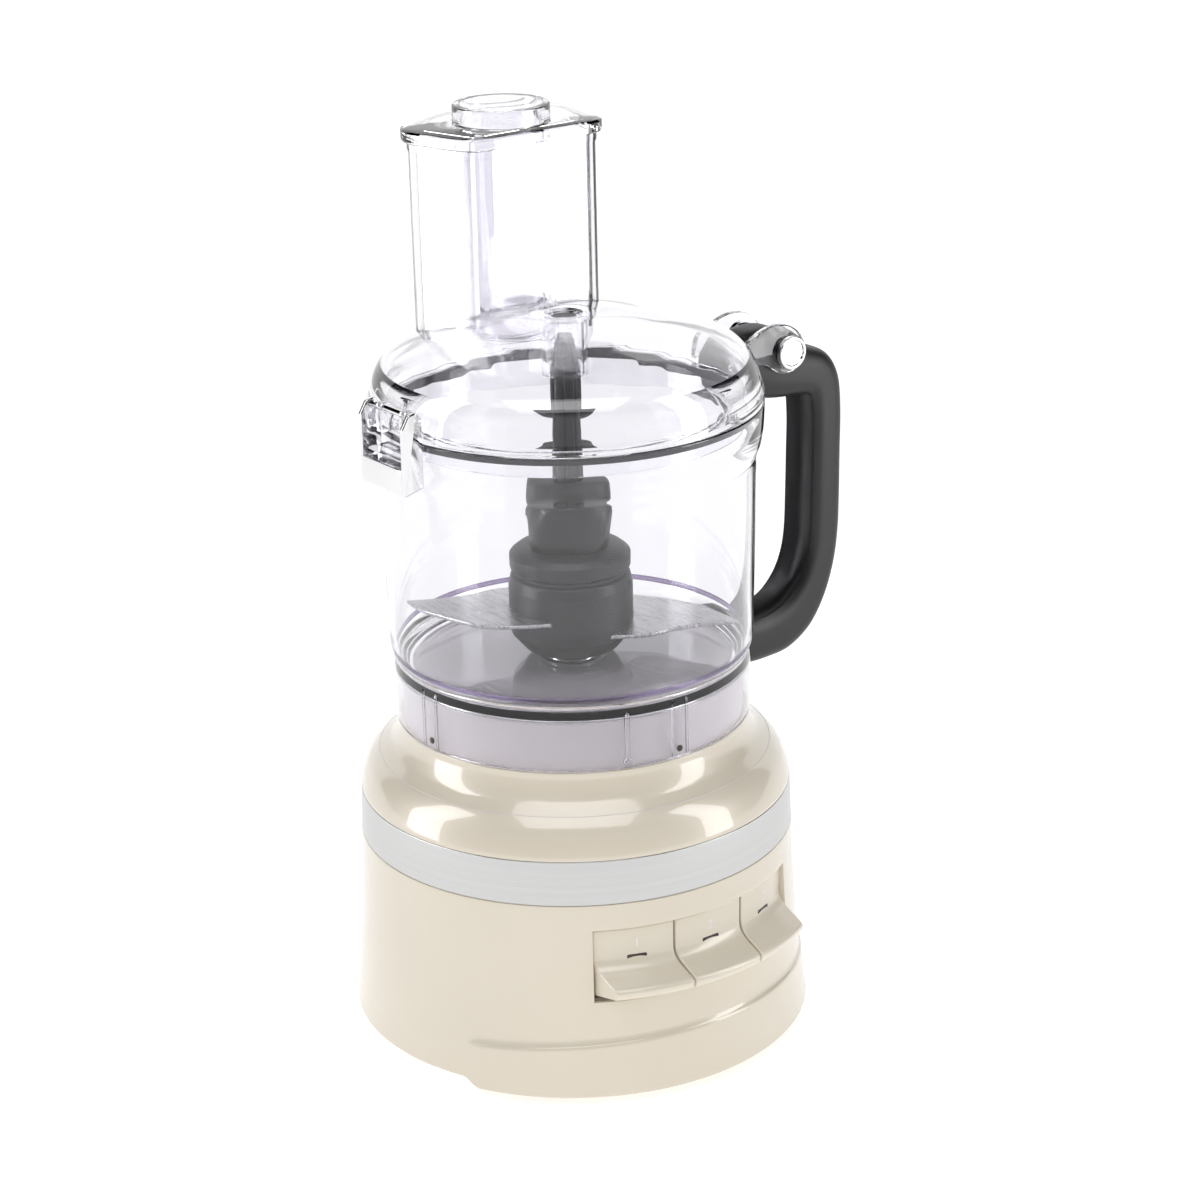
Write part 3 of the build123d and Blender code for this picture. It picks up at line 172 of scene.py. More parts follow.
NODE_LOOKS = {
    "cream_plastic": cream, "cream_button": cream_button, "clear_plastic": clear_plastic, "black_plastic": black,
    "dark_lens": dark_lens, "silver_plastic": silver_plastic, "blade_steel": blade_steel, "band_steel": band_steel,
    "bright_chrome": chrome, "shaft_steel": shaft_steel, "zinc_steel": zinc_steel, "core_steel": core_paint,
    "copper": copper, "black_rubber": rubber, "clear_seal": seal_rubber, "board_green": board_green,
}
slot_of = {part["node"]: part["material_slot"] for part in frame["record"]["subparts"]}
for node_name, node in nodes.items():
    node.data.materials.clear()
    node.data.materials.append(NODE_LOOKS[slot_of[node_name]])

# ---------------------------------------------------------------- shape helpers


def lerp(a, b, t):
    """A value t of the way from a to b."""
    return a + (b - a) * t


def ease(x, low, high):
    """0 below low, 1 above high, and a smooth step between."""
    t = min(1.0, max(0.0, (x - low) / (high - low)))
    return t * t * (3 - 2 * t)


def polar(radius, azimuth):
    """A plan point at a radius and an azimuth in degrees from the front towards the handle."""
    return radius * sin(radians(azimuth)), -radius * cos(radians(azimuth))


def smooth(points, steps=8):
    """A curve through the points (Catmull-Rom), with the given number of steps between neighbours."""
    ends = [points[0], *points, points[-1]]
    made = []
    for a, b, c, d in zip(ends, ends[1:], ends[2:], ends[3:]):
        for i in range(steps):
            t = i / steps
            made.append(tuple(0.5 * (2 * q + (r - p) * t + (2 * p - 5 * q + 4 * r - s) * t ** 2
                                     + (3 * q - p - 3 * r + s) * t ** 3) for p, q, r, s in zip(a, b, c, d)))
    return [*made, tuple(points[-1])]


def rounded(corners, steps=6):
    """A closed outline from corners (a, b) or (a, b, radius), with each radius turned into an arc."""
    made = []
    for i, corner in enumerate(corners):
        here = Vector(corner[:2])
        radius = corner[2] if len(corner) > 2 else 0
        if not radius:
            made.append(tuple(here))
            continue
        before = Vector(corners[i - 1][:2]) - here
        after = Vector(corners[(i + 1) % len(corners)][:2]) - here
        half = before.angle(after) / 2
        reach = radius * cos(half) / sin(half)
        reach = min(reach, before.length * 0.49, after.length * 0.49)
        start, end = here + before.normalized() * reach, here + after.normalized() * reach
        for k in range(steps + 1):
            t = k / steps
            made.append(tuple(start * (1 - t) ** 2 + here * 2 * t * (1 - t) + end * t ** 2))
    return made


def inset(points, amount):
    """The open curve moved square to itself by the amount, towards its left side."""
    made = []
    for i, (a, b) in enumerate(points):
        before, after = points[max(i - 1, 0)], points[min(i + 1, len(points) - 1)]
        da, db = after[0] - before[0], after[1] - before[1]
        length = hypot(da, db) or 1
        made.append((a - amount * db / length, b + amount * da / length))
    return made


def mesh_piece(name, vertices, faces, material, sharp=35):
    """A mesh object from millimetre vertices, smooth but for edges sharper than the given angle."""
    data = bpy.data.meshes.new(name)
    data.from_pydata([tuple(c * MM for c in v) for v in vertices], [], faces)
    work = bmesh.new()
    work.from_mesh(data)
    bmesh.ops.remove_doubles(work, verts=work.verts, dist=1e-6)
    bmesh.ops.recalc_face_normals(work, faces=work.faces)
    work.to_mesh(data)
    work.free()
    data.polygons.foreach_set("use_smooth", [True] * len(data.polygons))
    data.set_sharp_from_angle(angle=radians(sharp))
    data.materials.append(material)
    made = bpy.data.objects.new(name, data)
    bpy.context.scene.collection.objects.link(made)
    return made


def place(piece, body, slot, *stands_for):
    """Rides a piece on a body and hides the CAD nodes it stands for; the slot is not used."""
    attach(piece, body)
    if stands_for:
        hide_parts(*stands_for)
    return piece


def lathe(name, outline, material, steps=224, start=0.0, end=360.0, centre=(0, 0), sharp=35):
    """The closed radius-height outline turned about a vertical axis, all the way or between two azimuths."""
    full = end - start >= 360
    columns = steps if full else steps + 1
    size = len(outline)
    vertices, faces = [], []
    for i in range(columns):
        azimuth = lerp(start, end, i / steps)
        for r, z in outline:
            x, y = polar(r, azimuth)
            vertices.append((x + centre[0], y + centre[1], z))
    for i in range(steps):
        a, b = i * size, ((i + 1) % columns) * size
        faces += [(a + j, b + j, b + (j + 1) % size, a + (j + 1) % size) for j in range(size)]
    if not full:
        faces += [tuple(range(size)), tuple(range((columns - 1) * size, columns * size))]
    return mesh_piece(name, vertices, faces, material, sharp)


def loft(name, rings, material, sharp=35):
    """A closed skin over rings of equal point count; each ring is a closed list of 3-D points."""
    size = len(rings[0])
    vertices = [point for ring in rings for point in ring]
    faces = []
    for i in range(len(rings) - 1):
        a, b = i * size, (i + 1) * size
        faces += [(a + j, a + (j + 1) % size, b + (j + 1) % size, b + j) for j in range(size)]
    faces += [tuple(reversed(range(size))), tuple(range((len(rings) - 1) * size, len(rings) * size))]
    return mesh_piece(name, vertices, faces, material, sharp)


def slab(name, outline, low, high, material, turn=None, edge=0.6, sharp=35):
    """A plate with the closed plan outline between two heights, its rims rounded; turn maps it into place."""
    steps = 4
    quarter = [k / steps * pi / 2 for k in range(steps + 1)]
    levels = [(edge * (1 - cos(a)), edge * (1 - sin(a))) for a in quarter]
    closed = [*outline, outline[0], outline[1]]
    area = sum(a[0] * b[1] - b[0] * a[1] for a, b in zip(closed, closed[1:-1]))
    side = 1 if area > 0 else -1
    rings = []
    count = len(outline)
    for shrink, rise, base in [*[(s, r, low) for s, r in reversed(levels)], *[(s, -r, high) for s, r in levels]]:
        ring = []
        for i in range(count):
            before, here, after = Vector(outline[i - 1]), Vector(outline[i]), Vector(outline[(i + 1) % count])
            along = after - before
            normal = Vector((-along.y, along.x)).normalized() * side if along.length else Vector((0, 0))
            point = here + normal * shrink
            ring.append((point.x, point.y, base + rise))
        rings.append(ring)
    if turn:
        rings = [[turn(*point) for point in ring] for ring in rings]
    return loft(name, rings, material, sharp)


def on_wall(radius, azimuth, height):
    """Matrix that stands a piece drawn in X-Y on a wall at a radius, azimuth and height, its +Z facing out."""
    x, y = polar(radius, azimuth)
    return (Matrix.Translation(Vector((x, y, height)) * MM) @ Matrix.Rotation(radians(azimuth), 4, "Z")
            @ Matrix.Rotation(pi / 2, 4, "X"))


def side_plate(y_low):
    """Maps a slab drawn in X-Z into place, thickness running along +Y from y_low."""
    return lambda a, b, c: (a, y_low + c, b)


def bevelled(piece, width, segments=3, angle=40):
    """Rounds a piece's sharp edges."""
    modifier = piece.modifiers.new("edge", "BEVEL")
    modifier.width = width * MM
    modifier.segments = segments
    modifier.limit_method = "ANGLE"
    modifier.angle_limit = radians(angle)
    return piece


# ---------------------------------------------------------------- base: lower housing
BAND_BOTTOM, BAND_TOP = 92.0, 112.5
WINDOW_BOTTOM, WINDOW_TOP, WINDOW_HALF = 45.6, 79.8, 33.0
SHELL = 2.4
PADDLE_PITCH = 21.5
APRON_END, WALL_START = 62, 67      # azimuths between which the apron fades into the plain wall
RIDGE_MIDDLE, RIDGE_DROP, RIDGE_LOWEST = 26.6, 4.6, 21.0
APRON_PROUD = 0.95
SILL_STEPS, WINDOW_STEPS, HEAD_STEPS = 6, 8, 4
APRON_STEPS = (0.08, 0.2, 0.4, 0.6, 0.8, 0.93, 1.0)


def housing_radius(z):
    """Outer radius of the housing's plain wall at a height."""
    down = BAND_BOTTOM - z
    return 99.9 + 0.022 * down + 0.000506 * down ** 2


def housing_columns():
    """Azimuths of the housing's grid, with lines on the window's sides and close together round them."""
    marks = [-180, -WALL_START, -APRON_END, -WINDOW_HALF, WINDOW_HALF, APRON_END, WALL_START, 180]
    made = []
    for low, high in zip(marks, marks[1:]):
        count = max(6, round((high - low) / 1.5))
        made += [lerp(low, high, i / count) for i in range(count)]
    return made


def housing_rows(azimuth):
    """Radius and height up one column: bottom edge, apron, ridge, wall, window sill and head, band seat."""
    out = 1 - ease(abs(azimuth), APRON_END, WALL_START)
    proud = APRON_PROUD * out
    bottom = lerp(4.5, 0.8, out)
    ridge = max(RIDGE_MIDDLE - RIDGE_DROP * (abs(azimuth) / APRON_END) ** 2, RIDGE_LOWEST)
    rows = [(housing_radius(bottom + 0.8) - 0.7 + proud, bottom),
            (housing_radius(bottom) + proud, bottom + 0.8)]
    for t in APRON_STEPS:
        z = lerp(bottom + 0.8, ridge, t)
        rows.append((housing_radius(z) + proud, z))
    rows.append((housing_radius(ridge) + 0.6 * out, ridge + 0.35))
    rows.append((housing_radius(ridge) - 0.05, ridge + 0.9))
    for low, high, count in ((ridge + 0.9, WINDOW_BOTTOM, SILL_STEPS),
    (WINDOW_BOTTOM, WINDOW_TOP, WINDOW_STEPS),
                             (WINDOW_TOP, BAND_BOTTOM - 0.5, HEAD_STEPS)):
        for i in range(1, count + 1):
            z = lerp(low, high, i / count)
            rows.append((housing_radius(z), z))
    rows.append((housing_radius(BAND_BOTTOM) - 0.7, BAND_BOTTOM - 0.1))
    return rows


columns = housing_columns()
row_count = len(housing_rows(0))
# rows below the sill: two at the bottom edge, the apron's, two over the ridge, and the wall's
sill = 2 + len(APRON_STEPS) + 2 + SILL_STEPS - 1
head = sill + WINDOW_STEPS
vertices, faces = [], []
for azimuth in columns:
    vertices += [(*polar(r, azimuth), z) for r, z in housing_rows(azimuth)]
for i, azimuth in enumerate(columns):
    following = columns[(i + 1) % len(columns)]
    inside = azimuth >= -WINDOW_HALF - 0.01 and WINDOW_HALF + 0.01 >= following > azimuth
    for j in range(row_count - 1):
        if inside and sill <= j < head:
            continue
        a, b = i * row_count + j, ((i + 1) % len(columns)) * row_count + j
        faces.append((a, b, b + 1, a + 1))
housing = mesh_piece("housing_shell", vertices, faces, cream, sharp=60)
thick = housing.modifiers.new("wall", "SOLIDIFY")
thick.thickness = SHELL * MM
thick.offset = -1
bevelled(housing, 0.7, 3, 50)
place(housing, "base", "cream_plastic", "lower_housing")

# ---------------------------------------------------------------- base: band, collar, pedestal
band = lathe("steel_band", rounded([(99.85, BAND_BOTTOM + 0.1, 0.25), (99.1, BAND_TOP, 0.3), (98.0, BAND_TOP),
                                    (98.7, BAND_BOTTOM + 0.1)]), band_steel, steps=320)
place(band, "base", "band_steel", "trim_band")

collar_outside = smooth([(98.9, BAND_TOP + 0.2), (98.7, 114.6), (97.4, 119.1), (95.0, 124.5), (91.5, 128.7),
                         (87.4, 132.0), (84.4, 134.7), (82.3, 138.4), (81.0, 142.9), (80.7, 145.2)], 8)
collar = lathe("base_collar", rounded([*collar_outside, (80.55, 146.5, 0.5), (76.6, 146.5), (76.6, 143.0),
                                       (79.4, 138.0), (83.0, 131.0), (91.5, 122.5), (95.5, BAND_TOP),
                                       (95.5, BAND_BOTTOM), (97.6, BAND_BOTTOM),
                                       (97.2, BAND_TOP + 0.2)]), cream)
place(collar, "base", "cream_plastic", "top_collar")
CREASE_RADIUS, CREASE_HEIGHT, CREASE_HALF = 89.95, 130.0, 0.16
parting = lathe("collar_crease", [(CREASE_RADIUS + CREASE_HALF * cos(a * pi / 4),
                                   CREASE_HEIGHT + CREASE_HALF * sin(a * pi / 4)) for a in range(8)],
                silver_plastic)
place(parting, "base", "silver_plastic")
drum = lathe("silver_drum", rounded([(76.5, 143.5), (76.5, 169.5, 3.0), (9.0, 169.5, 0.3), (9.0, 166.0),
                                     (73.5, 166.0), (73.5, 143.5)]), silver_plastic)
place(drum, "base", "silver_plastic", "pedestal")

# ---------------------------------------------------------------- paddles
PANEL, LEDGE = 98.5, 113.0
PADDLE_BACK, LIGHT_HEIGHT, DIGIT_HEIGHT, DIGIT_SIZE = PANEL - 3, 65.0, 71.4, 6.4
ledge_line = smooth([(PANEL, 72.0), (PANEL, 66.0), (PANEL + 0.6, 63.4), (PANEL + 2.6, 61.0),
                     (PANEL + 6.4, 58.9),
                     (LEDGE - 2.4, 56.5), (LEDGE - 0.7, 55.4), (LEDGE - 0.05, 54.2), (LEDGE - 0.5, 52.2),
                     (LEDGE - 1.2, 51.2), (LEDGE - 2.6, 50.8)], 4)
paddle_section = rounded([(PADDLE_BACK, 46.8), (PADDLE_BACK, 78.9), (PANEL, 78.9, 0.8), *ledge_line])


def straight_cut(name, outline, low_x, high_x, material, steps=22):
    """The radius-height outline turned about the spindle between two planes of constant X."""
    size = len(outline)
    vertices = []
    for i in range(steps + 1):
        for r, z in outline:
            across = lerp(low_x, high_x, i / steps)
            vertices.append((across, -sqrt(r * r - across * across), z))
    faces = [(i * size + j, (i + 1) * size + j, (i + 1) * size + (j + 1) % size, i * size + (j + 1) % size)
             for i in range(steps) for j in range(size)]
    faces += [tuple(range(size)), tuple(range(steps * size, (steps + 1) * size))]
    return mesh_piece(name, vertices, faces, material)


for digit, azimuth, low_x, high_x in (("1", -PADDLE_PITCH, -53.5, -19.3), ("2", 0.0, -18.3, 18.3),
                                      ("0", PADDLE_PITCH, 19.3, 53.5)):
    piece = straight_cut(f"paddle_body_{digit}", paddle_section, low_x, high_x, cream_button)
    bevelled(piece, 0.7, 4, 50)
    place(piece, f"button_{digit}", "cream_button", f"paddle_{digit}")
    lens = slab(f"lens_{digit}", rounded([(-4.6, -1.05, 1.04), (4.6, -1.05, 1.04), (4.6, 1.05, 1.04),
                                          (-4.6, 1.05, 1.04)]), -1.5, 0.15, dark_lens, edge=0.12)
    lens.data.transform(on_wall(PANEL - 0.05, azimuth, LIGHT_HEIGHT))
    place(lens, f"button_{digit}", "dark_lens", f"light_lens_{digit}")
    text = bpy.data.curves.new(f"digit_{digit}", "FONT")
    text.body, text.size, text.align_x, text.align_y = digit, DIGIT_SIZE * MM, "CENTER", "CENTER"
    text.extrude = 0.06 * MM
    text.materials.append(white_print)
    numeral = bpy.data.objects.new(f"digit_{digit}", text)
    bpy.context.scene.collection.objects.link(numeral)
    numeral.matrix_world = on_wall(PANEL + 0.02, azimuth, DIGIT_HEIGHT)
    place(numeral, f"button_{digit}", "cream_button")

# ---------------------------------------------------------------- bowl
bowl_outside = [*smooth([(81.2, 147.2), (81.2, 160.0), (81.25, 176.0), (81.5, 178.6), (82.4, 180.6),
                         (82.7, 183.0)], 4),
                *smooth([(82.75, 186.0), (83.3, 210.0), (83.8, 232.0), (84.3, 262.0), (84.9, 268.0),
                         (86.6, 273.6),
                         (87.6, 280.0), (88.05, 288.0)], 6), (88.1, 291.95, 0.6), (85.9, 291.95, 0.4),
                (85.9, 288.0)]
bowl_inside = [*smooth([(85.2, 281.0), (82.6, 269.0), (81.8, 262.0), (81.3, 232.0), (80.5, 200.0),
                        (80.2, 186.0),
                        (79.6, 180.0), (77.6, 175.8), (74.0, 173.4), (68.0, 173.0)], 6),
               *smooth([(17.0, 173.0), (14.4, 173.6), (13.5, 176.0), (13.5, 180.0)], 4),
               (13.5, 215.0, 0.8), (11.0, 215.0, 0.4), (11.0, 170.6), (78.8, 170.6, 1.5), (78.8, 147.2, 0.4)]
bowl = lathe("clear_bowl", rounded([*bowl_outside, *bowl_inside]), clear_plastic)
place(bowl, "bowl_unit", "clear_plastic", "bowl")
floor_ring = lathe("floor_ring", rounded([(81.0, 179.4, 0.4), (81.9, 181.4), (81.7, 182.2, 0.3), (81.0, 182.0),
                                          (80.6, 180.2, 0.3)]), violet_edge)
place(floor_ring, "bowl_unit", "clear_plastic")
catch = slab("bowl_catch", rounded([(-86.6, -11, 0.6), (-86.6, 11, 0.6), (-92.6, 11, 1.2), (-92.6, -11, 1.2)]),
             283.6, 288.0, clear_plastic, edge=0.8)
SKIRT_RADIUS = 81.0
place(catch, "bowl_unit", "clear_plastic")
for number, azimuth in enumerate((-90.7, -84.4, -4.3, 1.0)):
    rib = lathe(f"skirt_rib_{number}", rounded([(SKIRT_RADIUS, 148.4), (81.9, 149.0, 0.3), (81.9, 173.0, 0.4),
                                                (SKIRT_RADIUS, 175.0)]),
                clear_plastic, 4, azimuth - 0.4, azimuth + 0.4)
    place(rib, "bowl_unit", "clear_plastic")
# a small dark disc on the skirt wall at each of the two dark dots
for number, azimuth in enumerate((-87.2, -1.7)):
    dark_dot = lathe(f"skirt_dark_dot_{number}", rounded([(0, 0), (1.5, 0), (1.5, 0.5, 0.4), (0, 0.7)]), dark_lens, 32)
    dark_dot.data.transform(on_wall(SKIRT_RADIUS, azimuth, 151.4))
    place(dark_dot, "bowl_unit", "clear_plastic")
# the guide rib: a half-round bead that ends in a ball
bead_levels = [(148.6, 0.2), (148.9, 1.3), (149.9, 2.0), (151.0, 2.0), (152.0, 1.3), (153.0, 1.25),
               (171.5, 1.25),
               (173.0, 0.9), (173.8, 0.2)]
x, y = polar(SKIRT_RADIUS, -19.8)
bead = loft("skirt_bead", [[(x + r * cos(2 * pi * k / 24), y + r * sin(2 * pi * k / 24), z) for k in range(24)]
                           for z, r in bead_levels], clear_plastic)
place(bead, "bowl_unit", "clear_plastic")

# ---------------------------------------------------------------- handle
SQUARENESS = 3.4       # 2 would make the grip's section an ellipse

def swept_bar(name, outer, inner, half_width, material, groove=0.0, first=0.0, last=1.0, points=64):
    """A bar between an outer and an inner X-Z curve, a rounded oblong across Y.

    The groove is hollowed along the inner side from the first to the last part of the way.
    """
    rings = []
    for i, ((ax, az), (bx, bz)) in enumerate(zip(outer, inner)):
        along = i / (len(outer) - 1)
        depth = groove * ease(along, first, first + 0.07) * (1 - ease(along, last - 0.03, last))
        thick = hypot(ax - bx, az - bz)
        ring = []
        for k in range(points):
            a = 2 * pi * k / points
            u = (abs(cos(a)) ** (2 / SQUARENESS)) * (1 if cos(a) >= 0 else -1)
            v = (abs(sin(a)) ** (2 / SQUARENESS)) * (1 if sin(a) >= 0 else -1)
            if u < 0 and abs(v) < 0.8:
                u += 2 * depth / thick * cos(v / 0.8 * pi / 2) ** 0.7
            ring.append(((ax + bx) / 2 + (ax - bx) / 2 * u, half_width * v,
                         (az + bz) / 2 + (az - bz) / 2 * u))
        rings.append(ring)
    return loft(name, rings, material, sharp=50)


grip_outer = smooth([(97.0, 304.6), (112.0, 306.2), (124.0, 301.5), (134.6, 294.2), (146.8, 288.6),
                     (153.4, 277.8),
                     (155.3, 262.0), (155.1, 240.0), (154.8, 215.0), (154.1, 199.7), (151.5, 183.6),
                     (145.6, 167.0),
                     (136.4, 153.4), (123.4, 145.2), (110.0, 143.3), (97.0, 143.5), (84.0, 147.3)], 6)
grip_inner = smooth([(93.0, 283.0), (100.0, 276.0), (108.0, 272.5), (118.0, 271.0), (127.8, 270.6),
                     (133.8, 268.2),
                     (135.3, 256.0), (135.0, 239.0), (134.4, 215.0), (133.6, 199.0), (131.6, 189.0),
                     (127.4, 180.4),
                     (120.0, 173.0), (111.0, 169.0), (102.0, 167.6), (92.0, 168.2), (82.6, 169.0)], 6)
grip = swept_bar("handle_grip", grip_outer, grip_inner, 12.4, black, 7.0, 0.27, 0.92)
place(grip, "bowl_unit", "black_plastic", "handle", "grip_liner")
grip_head = swept_bar("handle_head", smooth([(88.6, 297.5), (92.4, 302.0), (100.0, 305.6), (110.0, 306.4)], 6),
                      smooth([(88.4, 281.0), (92.6, 279.0), (102.0, 277.0), (112.0, 276.0)], 6), 12.3, black)
place(grip_head, "bowl_unit", "black_plastic")

HINGE_X, HINGE_Z = 115.5, 296.0
for side, word in SIDES:
    turn = Matrix.Translation(Vector((HINGE_X, side * 17.4, HINGE_Z)) * MM)
    turn = turn @ Matrix.Rotation(-side * pi / 2, 4, "X")
    cap = lathe(f"hinge_cap_{word}", rounded([(0, 0), (7.75, 0, 0.3), (7.75, 2.9, 0.8), (6.3, 2.9, 0.4),
                                              (5.9, 2.0, 0.3), (0, 2.3)]), chrome, 72)
    cap.data.transform(turn)
    place(cap, "bowl_unit", "bright_chrome", *(["hinge_caps"] if side < 0 else []))

# ---------------------------------------------------------------- blade unit
hub = lathe("hub_body", rounded([(15, 177.2), (21.5, 177.0, 0.8), (27.4, 184.0, 3), (28.3, 190.0, 2),
                                 (28.2, 207.0, 2), (27.0, 211.6, 1.2), (25.4, 212.4), (25.4, 213.6),
                                 (27.4, 215.2, 0.8), (27.5, 221.2, 1.4), (24.5, 223.6, 1.0), (20.4, 225.2),
                                 (0, 225.2), (0, 217), (15, 217)]), black)
place(hub, "blade_unit", "black_plastic", "blade_hub")


def squarish(radius, corner, turn, z, count=64):
    """A ring of points between a square and a circle, turned about the axis."""
    ring = []
    for k in range(count):
        a = 2 * pi * k / count
        reach = radius * (1 + corner * (cos(4 * a) ** 2 * (1 if cos(4 * a) > 0 else -0.6)))
        ring.append((reach * cos(a + radians(turn)), reach * sin(a + radians(turn)), z))
    return ring


cap_levels = [(225.2, 18.0, 0), (226.0, 18.6, 2), (230.0, 18.9, 6), (235.0, 19.4, 12), (240.0, 19.8, 18),
              (245.0, 19.4, 24), (248.6, 18.8, 28), (250.2, 18.0, 30), (251.0, 16.6, 31), (251.0, 8.0, 32)]
hub_top = loft("hub_top", [squarish(radius, 0.07, turn, z) for z, radius, turn in cap_levels], black, sharp=50)
place(hub_top, "blade_unit", "black_plastic", "hub_cap")
stem_levels = [(251.0, 6.8), (306.0, 6.8), (307.0, 6.3), (319.0, 4.2), (321.0, 3.2)]
FLUTE_DEPTH, FLUTES = 0.7, 8


def fluted(radius, z, count=128):
    """A ring with shallow flutes."""
    ring = []
    for k in range(count):
        a = 2 * pi * k / count
        reach = radius - FLUTE_DEPTH * max(0, cos(FLUTES * a)) ** 6
        ring.append((reach * cos(a), reach * sin(a), z))
    return ring


stem = loft("stem", [fluted(radius, z) for z, radius in stem_levels], black, sharp=60)
place(stem, "blade_unit", "black_plastic", "drive_stem")

cutting_edge = smooth([(-57.0, 50.0), (-58.0, 37.0), (-55.5, 24.0), (-49.0, 2.0), (-36.0, -10.5),
                       (-24.0, -17.6)], 8)
back_edge = smooth([(0.0, 27.0), (-15.0, 36.0), (-29.5, 38.0), (-43.0, 42.3), (-57.0, 50.0)], 8)
BLADE_THICKNESS = 1.8
for word, level, flip in (("upper", 195.0, 1), ("lower", 186.0, -1)):
    plan = [(flip * x, flip * y) for x, y in [*cutting_edge, (-10, -10), (0, 10), *back_edge[:-1]]]
    blade = slab(f"blade_{word}_plate", plan, level, level + BLADE_THICKNESS, blade_steel,
                 edge=0.5, sharp=30)
    place(blade, "blade_unit", "blade_steel", f"blade_{word}")

# ---------------------------------------------------------------- lid: dome, feed tube, boss, ears and lugs
CHUTE_X, CHUTE_FRONT = -2.0, 13.5


def chute(amount=0.0):
    """Closed plan of the feed tube, moved inwards by the amount."""
    front = [(x, CHUTE_FRONT) for x in (-27.0, -20.0, -10.0, 0.0, 10.0, 20.0)]
    right = smooth([(27.0, CHUTE_FRONT), (31.4, 14.4), (34.5, 17.4), (36.4, 22.0), (37.9, 27.5), (39.9, 35.5),
                    (41.6, 42.0), (42.2, 46.5), (41.2, 52.0), (38.0, 57.6), (33.6, 62.4), (28.0, 65.9),
                    (19.5, 70.4), (10.0, 73.8), (0.0, 75.3)], 4)
    left = [(-x, y) for x, y in reversed(right)]
    ring = [(CHUTE_X + x, y) for x, y in [*front, *right[:-1], *left[:-1]]]
    count = len(ring)
    moved = []
    for i in range(count):
        (ax, ay), (bx, by) = ring[i - 1], ring[(i + 1) % count]
        length = hypot(bx - ax, by - ay)
        moved.append((ring[i][0] - amount * (by - ay) / length,
                      ring[i][1] + amount * (bx - ax) / length))
    return moved


def prism(name, plan, low, high, material):
    """A plain column with the given plan."""
    return loft(name, [[(x, y, z) for x, y in plan] for z in (low, high)], material)


def combine(target, *others, operation="UNION"):
    """Adds or cuts other solids into the target and keeps only the result."""
    for other in others:
        modifier = target.modifiers.new("join", "BOOLEAN")
        modifier.operation, modifier.object, modifier.solver = operation, other, "EXACT"
        depsgraph = bpy.context.evaluated_depsgraph_get()
        result = bpy.data.meshes.new_from_object(target.evaluated_get(depsgraph))
        target.modifiers.clear()
        target.data = result
        bpy.data.objects.remove(other)
    target.data.polygons.foreach_set("use_smooth", [True] * len(target.data.polygons))
    target.data.set_sharp_from_angle(angle=radians(35))
    return target


LID_WALL = 2.4
LID_TOP = 331.6
dome_line = smooth([(88.1, 296.2), (87.5, 298.2), (86.8, 300.4), (85.5, 304.7), (83.5, 309.2), (80.5, 313.4),
                    (76.3, 316.7), (71.0, 319.4), (64.0, 321.8), (56.0, 323.9), (46.0, 326.3), (33.0, 329.2),
                    (14.0, LID_TOP)], 6)
dome_under = inset(dome_line, LID_WALL)
dome_under = [(r, z) for r, z in dome_under if r < 82.4]
outer_solid = lathe("lid_shell", rounded([(0, 292.4), (88.1, 292.4, 0.5), *dome_line, (0, LID_TOP)]),
                    clear_plastic)
tube_solid = prism("tube", chute(), 312.0, 404.6, clear_plastic)
lip_solid = prism("tube_lip", chute(-0.6), 401.6, 404.9, clear_plastic)
combine(outer_solid, tube_solid, lip_solid)
hollow = lathe("hollow", [(0, 280), (80.0, 280), (80.0, 297.0), *[(r, z) for r, z in dome_under if r < 80.0],
                          (0, LID_TOP - LID_WALL)], clear_plastic)
bore = prism("bore", chute(LID_WALL), 300.0, 410.0, clear_plastic)
combine(outer_solid, hollow, bore, operation="DIFFERENCE")
skirt = lathe("skirt", rounded([(80.2, 281.1, 0.8), (80.2, 292.8), (78.2, 292.8), (78.2, 281.1, 0.8)]),
              clear_plastic)
boss = lathe("boss", [(0, 304.2), (10.2, 304.2), (10.2, 330.9), (0, 330.9)], clear_plastic, 96)
combine(outer_solid, boss, skirt)
socket = lathe("socket", [(0, 300.0), (7.6, 300.0), (7.6, 326.8), (0, 326.8)], clear_plastic, 96)
dish = lathe("dish", [(0, 330.3), (8.6, 330.3), (8.6, 334.0), (0, 334.0)], clear_plastic, 96)
disc_seat = lathe("seat", [(0, 326.9), (5.7, 326.9), (5.7, 332.0), (0, 332.0)], clear_plastic, 72)
combine(outer_solid, socket, dish, disc_seat, operation="DIFFERENCE")
place(outer_solid, "lid_unit", "clear_plastic", "lid")
bush = lathe("boss_disc", rounded([(0, 327.2), (5.6, 327.2, 0.2), (5.6, 330.2, 0.5), (0, 330.2)]), black, 72)
place(bush, "lid_unit", "black_plastic", "stem_bush")
seal = lathe("lid_seal_ring", rounded([(80.4, 288.2, 0.6), (85.4, 288.2, 0.8), (85.4, 292.1, 0.5),
                                       (80.4, 292.1)]),
             seal_rubber)
place(seal, "lid_unit", "clear_seal", "lid_seal")

